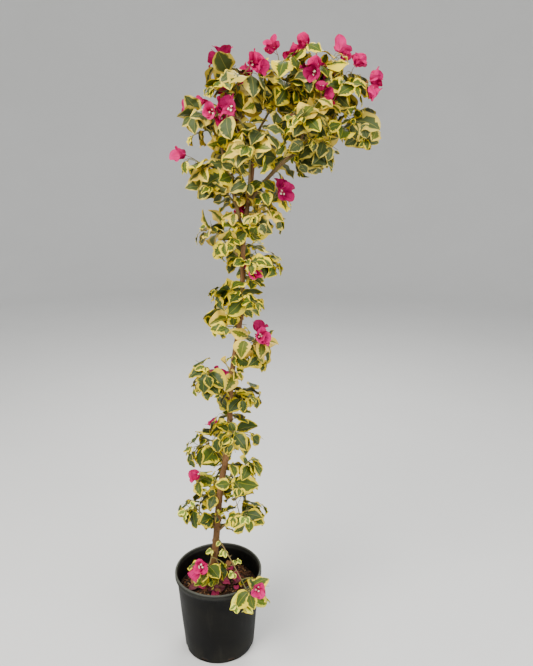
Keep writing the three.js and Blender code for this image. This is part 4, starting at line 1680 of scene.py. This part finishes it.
def chip_faces():
    """The 24 quads of a block with three corners along each edge."""
    index = {corner: i for i, corner in enumerate(CHIP_CORNERS)}
    faces = []
    for axis, end, u, v in product(range(3), (-1, 1), (-1, 0), (-1, 0)):
        first, second = [a for a in range(3) if a != axis]
        quad = []
        for du, dv in ((0, 0), (1, 0), (1, 1), (0, 1)):
            corner = [0, 0, 0]
            corner[axis] = end
            corner[first] = u + du
            corner[second] = v + dv
            quad.append(index[tuple(corner)])
        flip = (end == 1) == (axis == 1)
        faces.append(quad[::-1] if flip else quad)
    return faces


def add_chip(shape, faces, centre, length, width, thickness, material, draw):
    """A broken piece of bark: a flat block with every corner knocked about."""
    turn = draw(*ANY_TURN)
    pitch = draw(*CHIP["pitch"])
    roll = draw(*CHIP["roll"])
    level = math.cos(pitch)
    along = np.array([math.cos(turn) * level, math.sin(turn) * level, math.sin(pitch)])
    side = rotated(unit(np.cross(UP, along)), along, roll)
    normal = np.cross(along, side)
    size = np.array([length, width, thickness])
    corners = []
    for corner in CHIP_CORNERS:
        rounding = CHIP_ROUNDING[sum(map(abs, corner))]
        local = np.array(corner) * size * 0.5 * rounding
        local = local * np.array([draw(*knock) for knock in CHIP["knocks"]])
        corners.append(centre + along * local[0] + side * local[1] + normal * local[2])
    shape.add(corners, faces, material)


def make_chips(soil, phases, draw):
    """Chips of bark strewn over the compost, clear of the trunk's foot."""
    shape = Shape()
    faces = chip_faces()
    edge = fill_radius(SOIL_TOP) - CHIP["from_wall"]
    foot = trunk_at(TRUNK["foot"])
    for i in range(soil.chips):
        length = draw(*CHIP["lengths" if i % CHIP["long_every"] else "long_lengths"])
        radius = (edge - length * 0.5) * math.sqrt(draw())
        turn = draw(*ANY_TURN)
        x = radius * math.cos(turn)
        y = radius * math.sin(turn)
        if math.hypot(x - foot[0], y - foot[1]) < CHIP["from_trunk"] + length * 0.5:
            continue
        centre = np.array([x, y, float(soil_height(x, y, phases)) + draw(*CHIP["lift"])])
        kind = CHIP_MIX[int(draw() * len(CHIP_MIX))]
        width = length * draw(*CHIP["widths"])
        thickness = length * draw(*CHIP["thicknesses"])
        add_chip(shape, faces, centre, length, width, thickness, kind, draw)
    materials = [compost_material(f"bark_chip_{i}", *shades) for i, shades in enumerate(CHIP_SHADES)]
    shape.build("bark_chips", materials, "soil", smooth=False)


def make_litter(soil, phases, draw):
    """Fallen bracts and dry leaves lying on the compost."""
    shape = Shape()
    edge = fill_radius(SOIL_TOP) - LITTER["from_wall"]
    foot = trunk_at(TRUNK["foot"])
    for i in range(soil.fallen):
        radius = edge * math.sqrt(draw(*LITTER["spread"]))
        turn = i * GOLDEN_TURN + draw(*LITTER["turn_looseness"])
        x = radius * math.cos(turn)
        y = radius * math.sin(turn)
        if math.hypot(x - foot[0], y - foot[1]) < LITTER["from_trunk"]:
            continue
        place = np.array([x, y, float(soil_height(x, y, phases)) + LITTER["lift"]])
        heading = unit(np.array([draw(-1, 1), draw(-1, 1), draw(*LITTER["tilt"])]))
        facing = unit(UP + np.array([draw(*LITTER["facing"]), draw(*LITTER["facing"]), 0]))
        length = draw(*LITTER["lengths"])
        width = length * LITTER["width"]
        add_bract(shape, place, heading, facing, length, width, i % BRACT_SHADES, draw)
    materials = living_materials("fallen", FALLEN_COLOURS, FALLEN_SURFACE)
    shape.build("fallen_leaves", materials, "soil")


# Stage, light and camera

# The photo's height and focal length in pixels, and the camera's place, downward pitch and sensor
PHOTO = {"height": 666, "focal_pixels": 612.0}
CAMERA = {"place": (0.157, -1.73, 1.53), "pitch": 15.0, "sensor": 36.0}
# The floor's sweep up into the wall, its top, its corners round, and how much its tone varies
FLOOR = {"sweep": 3.0, "top": 9.0, "sides": 96, "tone": 1.03}
SKY = (0.97, 0.985, 1.0, 1.0)
# Each light: its place, what it faces, its size, its share of the main light's power and its colour
LIGHTS = {
    "key": ((-1.5, -1.9, 3.3), (0.1, 0.0, 1.1), 2.2, 1.0, (1.0, 0.97, 0.92)),
    "fill": ((2.4, -1.7, 2.0), (0.1, 0.0, 1.0), 2.4, 0.36, (0.98, 0.99, 1.0)),
    "back": ((0.6, 2.2, 3.4), (0.15, 0.0, 1.2), 2.0, 0.5, (1.0, 0.99, 0.95)),
}


def make_stage(stage):
    """A pale floor that sweeps up all round, soft lights and the camera at eye height."""
    add_floor(stage)
    for name, (place, target, size, share, colour) in LIGHTS.items():
        add_light(name, place, target, size, stage.key_power * share, colour)
    world = bpy.data.worlds.new("studio")
    world.use_nodes = True
    background = world.node_tree.nodes["Background"]
    background.inputs["Color"].default_value = SKY
    background.inputs["Strength"].default_value = stage.ambient
    bpy.context.scene.world = world
    add_camera()


def add_floor(stage):
    """A level floor that sweeps up into a wall all round."""
    sweep = FLOOR["sweep"]
    profile = [(0.0, 0.0), (stage.floor_radius * 0.5, 0.0)]
    profile += arc((stage.floor_radius, sweep), sweep, -90, 0, 24)
    profile.append((stage.floor_radius + sweep, FLOOR["top"]))
    mesh = bpy.data.meshes.new("floor")
    corners = np.concatenate(lathe_rows(profile, FLOOR["sides"])).tolist()
    mesh.from_pydata(corners, [], grid_faces(len(profile), FLOOR["sides"], True))
    material, tree, shader = new_material("floor_pale")
    base = tuple(stage.floor_colour)
    lighter = tuple(c * FLOOR["tone"] for c in base)
    clouds = noise(tree, placed(tree), 1.4, detail=3)
    tone = ramp(tree, clouds, [(0.3, (*base, 1)), (0.7, (*lighter, 1))])
    tree.links.new(tone, shader.inputs["Base Color"])
    shader.inputs["Roughness"].default_value = 0.8
    shader.inputs["Specular IOR Level"].default_value = 0.2
    mesh.materials.append(material)
    mesh.polygons.foreach_set("use_smooth", [True] * len(mesh.polygons))
    floor = bpy.data.objects.new("floor", mesh)
    bpy.context.scene.collection.objects.link(floor)
    weld(floor)


def add_light(name, place, target, size, power, colour):
    """A round soft light that faces a target."""
    light = bpy.data.lights.new(name, "AREA")
    light.shape = "DISK"
    light.size = size
    light.energy = power
    light.color = colour
    lamp = bpy.data.objects.new(name, light)
    lamp.location = place
    lamp.rotation_euler = (Vector(target) - Vector(place)).to_track_quat("-Z", "Y").to_euler()
    bpy.context.scene.collection.objects.link(lamp)


def add_camera():
    """The camera, placed and pitched as fitted to the photo."""
    camera = bpy.data.cameras.new("camera")
    camera.sensor_width = CAMERA["sensor"]
    camera.lens = PHOTO["focal_pixels"] / PHOTO["height"] * CAMERA["sensor"]
    camera.clip_start = 0.02
    viewer = bpy.data.objects.new("camera", camera)
    viewer.location = CAMERA["place"]
    viewer.rotation_euler = (math.radians(90 - CAMERA["pitch"]), 0, 0)
    bpy.context.scene.collection.objects.link(viewer)
    bpy.context.scene.camera = viewer


# Settings, operators and panel


def colour_setting(name, description, default):
    """A colour that the sidebar's user can change."""
    return FloatVectorProperty(
        name=name, description=description, subtype="COLOR", size=3, default=default
    )


def length_setting(name, description, default):
    """A length in metres."""
    return FloatProperty(name=name, description=description, unit="LENGTH", default=default)


def count_setting(name, description, default, least):
    """A whole number that has a least value."""
    return IntProperty(name=name, description=description, default=default, min=least)


class FoliageSettings(bpy.types.PropertyGroup):
    """Sizes and colours of the leaves."""

    leaf_length: length_setting("Leaf length", "Length of a full-grown blade", 0.07)
    leaf_width: length_setting("Leaf width", "Width of a full-grown blade", 0.059)
    petiole_length: length_setting("Stalk length", "Length of a leaf's stalk", 0.01)
    sunlit_centre: colour_setting("Sunlit centre", "Green of a leaf in the sun", (0.28, 0.35, 0.09))
    sunlit_edge: colour_setting("Sunlit edge", "Yellow edge of a leaf in the sun", (0.94, 0.84, 0.13))
    shaded_centre: colour_setting("Shaded centre", "Green of a leaf in the shade", (0.27, 0.32, 0.16))
    shaded_edge: colour_setting("Shaded edge", "Edge of a leaf in the shade", (0.83, 0.74, 0.28))
    young_centre: colour_setting("Young centre", "Green of a new leaf", (0.4, 0.5, 0.17))
    young_edge: colour_setting("Young edge", "Cream edge of a new leaf", (0.97, 0.95, 0.34))
    ageing_centre: colour_setting("Ageing centre", "Green of an old leaf", (0.36, 0.4, 0.1))
    ageing_edge: colour_setting("Ageing edge", "Deep yellow edge of an old leaf", (0.91, 0.78, 0.27))
    # The deep colours are painted shade: darker copies of the leaf colours for the dense foliage on the
    # stem and low down
    deep_centre: colour_setting("Deep centre", "Green of a leaf low on the stem", (0.19, 0.26, 0.07))
    deep_edge: colour_setting("Deep edge", "Yellow edge of a leaf low on the stem", (0.8, 0.7, 0.08))


class BlossomSettings(bpy.types.PropertyGroup):
    """Sizes and colours of the bracts."""

    bract_length: length_setting("Bract length", "Length of a papery bract", 0.041)
    bract_width: length_setting("Bract width", "Width of a papery bract", 0.036)
    most_blooms: count_setting("Most blooms", "Most blooms in one cluster", 3, 1)
    bract_colour: colour_setting("Bract", "Magenta of the bracts", (0.79, 0.05, 0.4))


class StemSettings(bpy.types.PropertyGroup):
    """How finely the bark is modelled."""

    trunk_sides: count_setting("Trunk sides", "Corners round the trunk", 36, 12)
    trunk_rings: count_setting("Trunk rings", "Rings up the trunk", 520, 50)


class PotSettings(bpy.types.PropertyGroup):
    """Wall and colour of the pot."""

    wall_thickness: length_setting("Wall", "Thickness of the moulded wall", POT["wall"])
    colour: colour_setting("Plastic", "Black of the plastic", (0.0042, 0.0042, 0.004))


class CompostSettings(bpy.types.PropertyGroup):
    """What lies on the compost."""

    chips: count_setting("Chips", "Bark chips on the compost", 1900, 0)
    fallen: count_setting("Fallen leaves", "Fallen bracts and dry leaves", 26, 0)


class StageSettings(bpy.types.PropertyGroup):
    """Floor and light of the studio."""

    floor_colour: colour_setting("Floor", "Pale colour of the floor", (0.74, 0.74, 0.73))
    floor_radius: length_setting("Floor radius", "Radius of the level floor", 6.0)
    key_power: FloatProperty(
        name="Key light", description="Power of the main light", default=172.0, unit="POWER"
    )
    ambient: FloatProperty(name="Ambient", description="Strength of the light all round", default=0.78)


SETTINGS = {
    "bougainvillea_foliage": FoliageSettings,
    "bougainvillea_blossom": BlossomSettings,
    "bougainvillea_stems": StemSettings,
    "bougainvillea_pot": PotSettings,
    "bougainvillea_compost": CompostSettings,
    "bougainvillea_stage": StageSettings,
}

PLANT = Plant()


def growth_of(scene):
    """What grows on the plant's limbs with the scene's sizes of leaves."""
    return Growth(PLANT, scene.bougainvillea_foliage)


class BOUGAINVILLEA_OT_stage(bpy.types.Operator):
    """Lay the pale floor and set the lights and the camera"""

    bl_idname = "bougainvillea.stage"
    bl_label = "Stage"

    def execute(self, context):
        make_stage(context.scene.bougainvillea_stage)
        return {"FINISHED"}


class BOUGAINVILLEA_OT_pot(bpy.types.Operator):
    """Mould the nursery pot"""

    bl_idname = "bougainvillea.pot"
    bl_label = "Pot"

    def execute(self, context):
        make_pot(context.scene.bougainvillea_pot)
        return {"FINISHED"}


class BOUGAINVILLEA_OT_compost(bpy.types.Operator):
    """Fill the pot with bark compost and what has fallen on it"""

    bl_idname = "bougainvillea.compost"
    bl_label = "Compost"

    def execute(self, context):
        make_compost(context.scene.bougainvillea_compost)
        return {"FINISHED"}


class BOUGAINVILLEA_OT_stems(bpy.types.Operator):
    """Put bark on the trunk, the canes and the boughs"""

    bl_idname = "bougainvillea.stems"
    bl_label = "Trunk and boughs"

    def execute(self, context):
        make_trunk(context.scene.bougainvillea_stems)
        make_limbs(PLANT)
        return {"FINISHED"}


class BOUGAINVILLEA_OT_leaves(bpy.types.Operator):
    """Grow the twigs and their leaves"""

    bl_idname = "bougainvillea.leaves"
    bl_label = "Twigs and leaves"

    def execute(self, context):
        growth = growth_of(context.scene)
        make_twigs(growth, context.scene.bougainvillea_foliage)
        make_leaves(growth, context.scene.bougainvillea_foliage)
        return {"FINISHED"}


class BOUGAINVILLEA_OT_blossom(bpy.types.Operator):
    """Open the blooms at the ends of the twigs"""

    bl_idname = "bougainvillea.blossom"
    bl_label = "Blossom"

    def execute(self, context):
        make_blossom(growth_of(context.scene), context.scene.bougainvillea_blossom)
        return {"FINISHED"}


OPERATORS = (
    BOUGAINVILLEA_OT_stage,
    BOUGAINVILLEA_OT_pot,
    BOUGAINVILLEA_OT_compost,
    BOUGAINVILLEA_OT_stems,
    BOUGAINVILLEA_OT_leaves,
    BOUGAINVILLEA_OT_blossom,
)


class BOUGAINVILLEA_PT_sidebar(bpy.types.Panel):
    """Lists the steps that make the plant"""

    bl_label = "Bougainvillea"
    bl_idname = "BOUGAINVILLEA_PT_sidebar"
    bl_space_type = "VIEW_3D"
    bl_region_type = "UI"
    bl_category = "Bougainvillea"

    def draw(self, context):
        for operator in OPERATORS:
            self.layout.operator(operator.bl_idname)


def register():
    """Adds the settings, the operators and the panel."""
    for group in SETTINGS.values():
        bpy.utils.register_class(group)
    for name, group in SETTINGS.items():
        setattr(bpy.types.Scene, name, PointerProperty(type=group))
    for operator in OPERATORS:
        bpy.utils.register_class(operator)
    bpy.utils.register_class(BOUGAINVILLEA_PT_sidebar)


def unregister():
    """Takes away the panel, the operators and the settings."""
    bpy.utils.unregister_class(BOUGAINVILLEA_PT_sidebar)
    for operator in reversed(OPERATORS):
        bpy.utils.unregister_class(operator)
    for name, group in reversed(list(SETTINGS.items())):
        delattr(bpy.types.Scene, name)
        bpy.utils.unregister_class(group)


def main():
    """Makes the stage and then each group of pieces."""
    register()
    bpy.ops.bougainvillea.stage()
    bpy.ops.bougainvillea.pot()
    bpy.ops.bougainvillea.compost()
    bpy.ops.bougainvillea.stems()
    bpy.ops.bougainvillea.leaves()
    bpy.ops.bougainvillea.blossom()


if __name__ == "__main__":
    main()
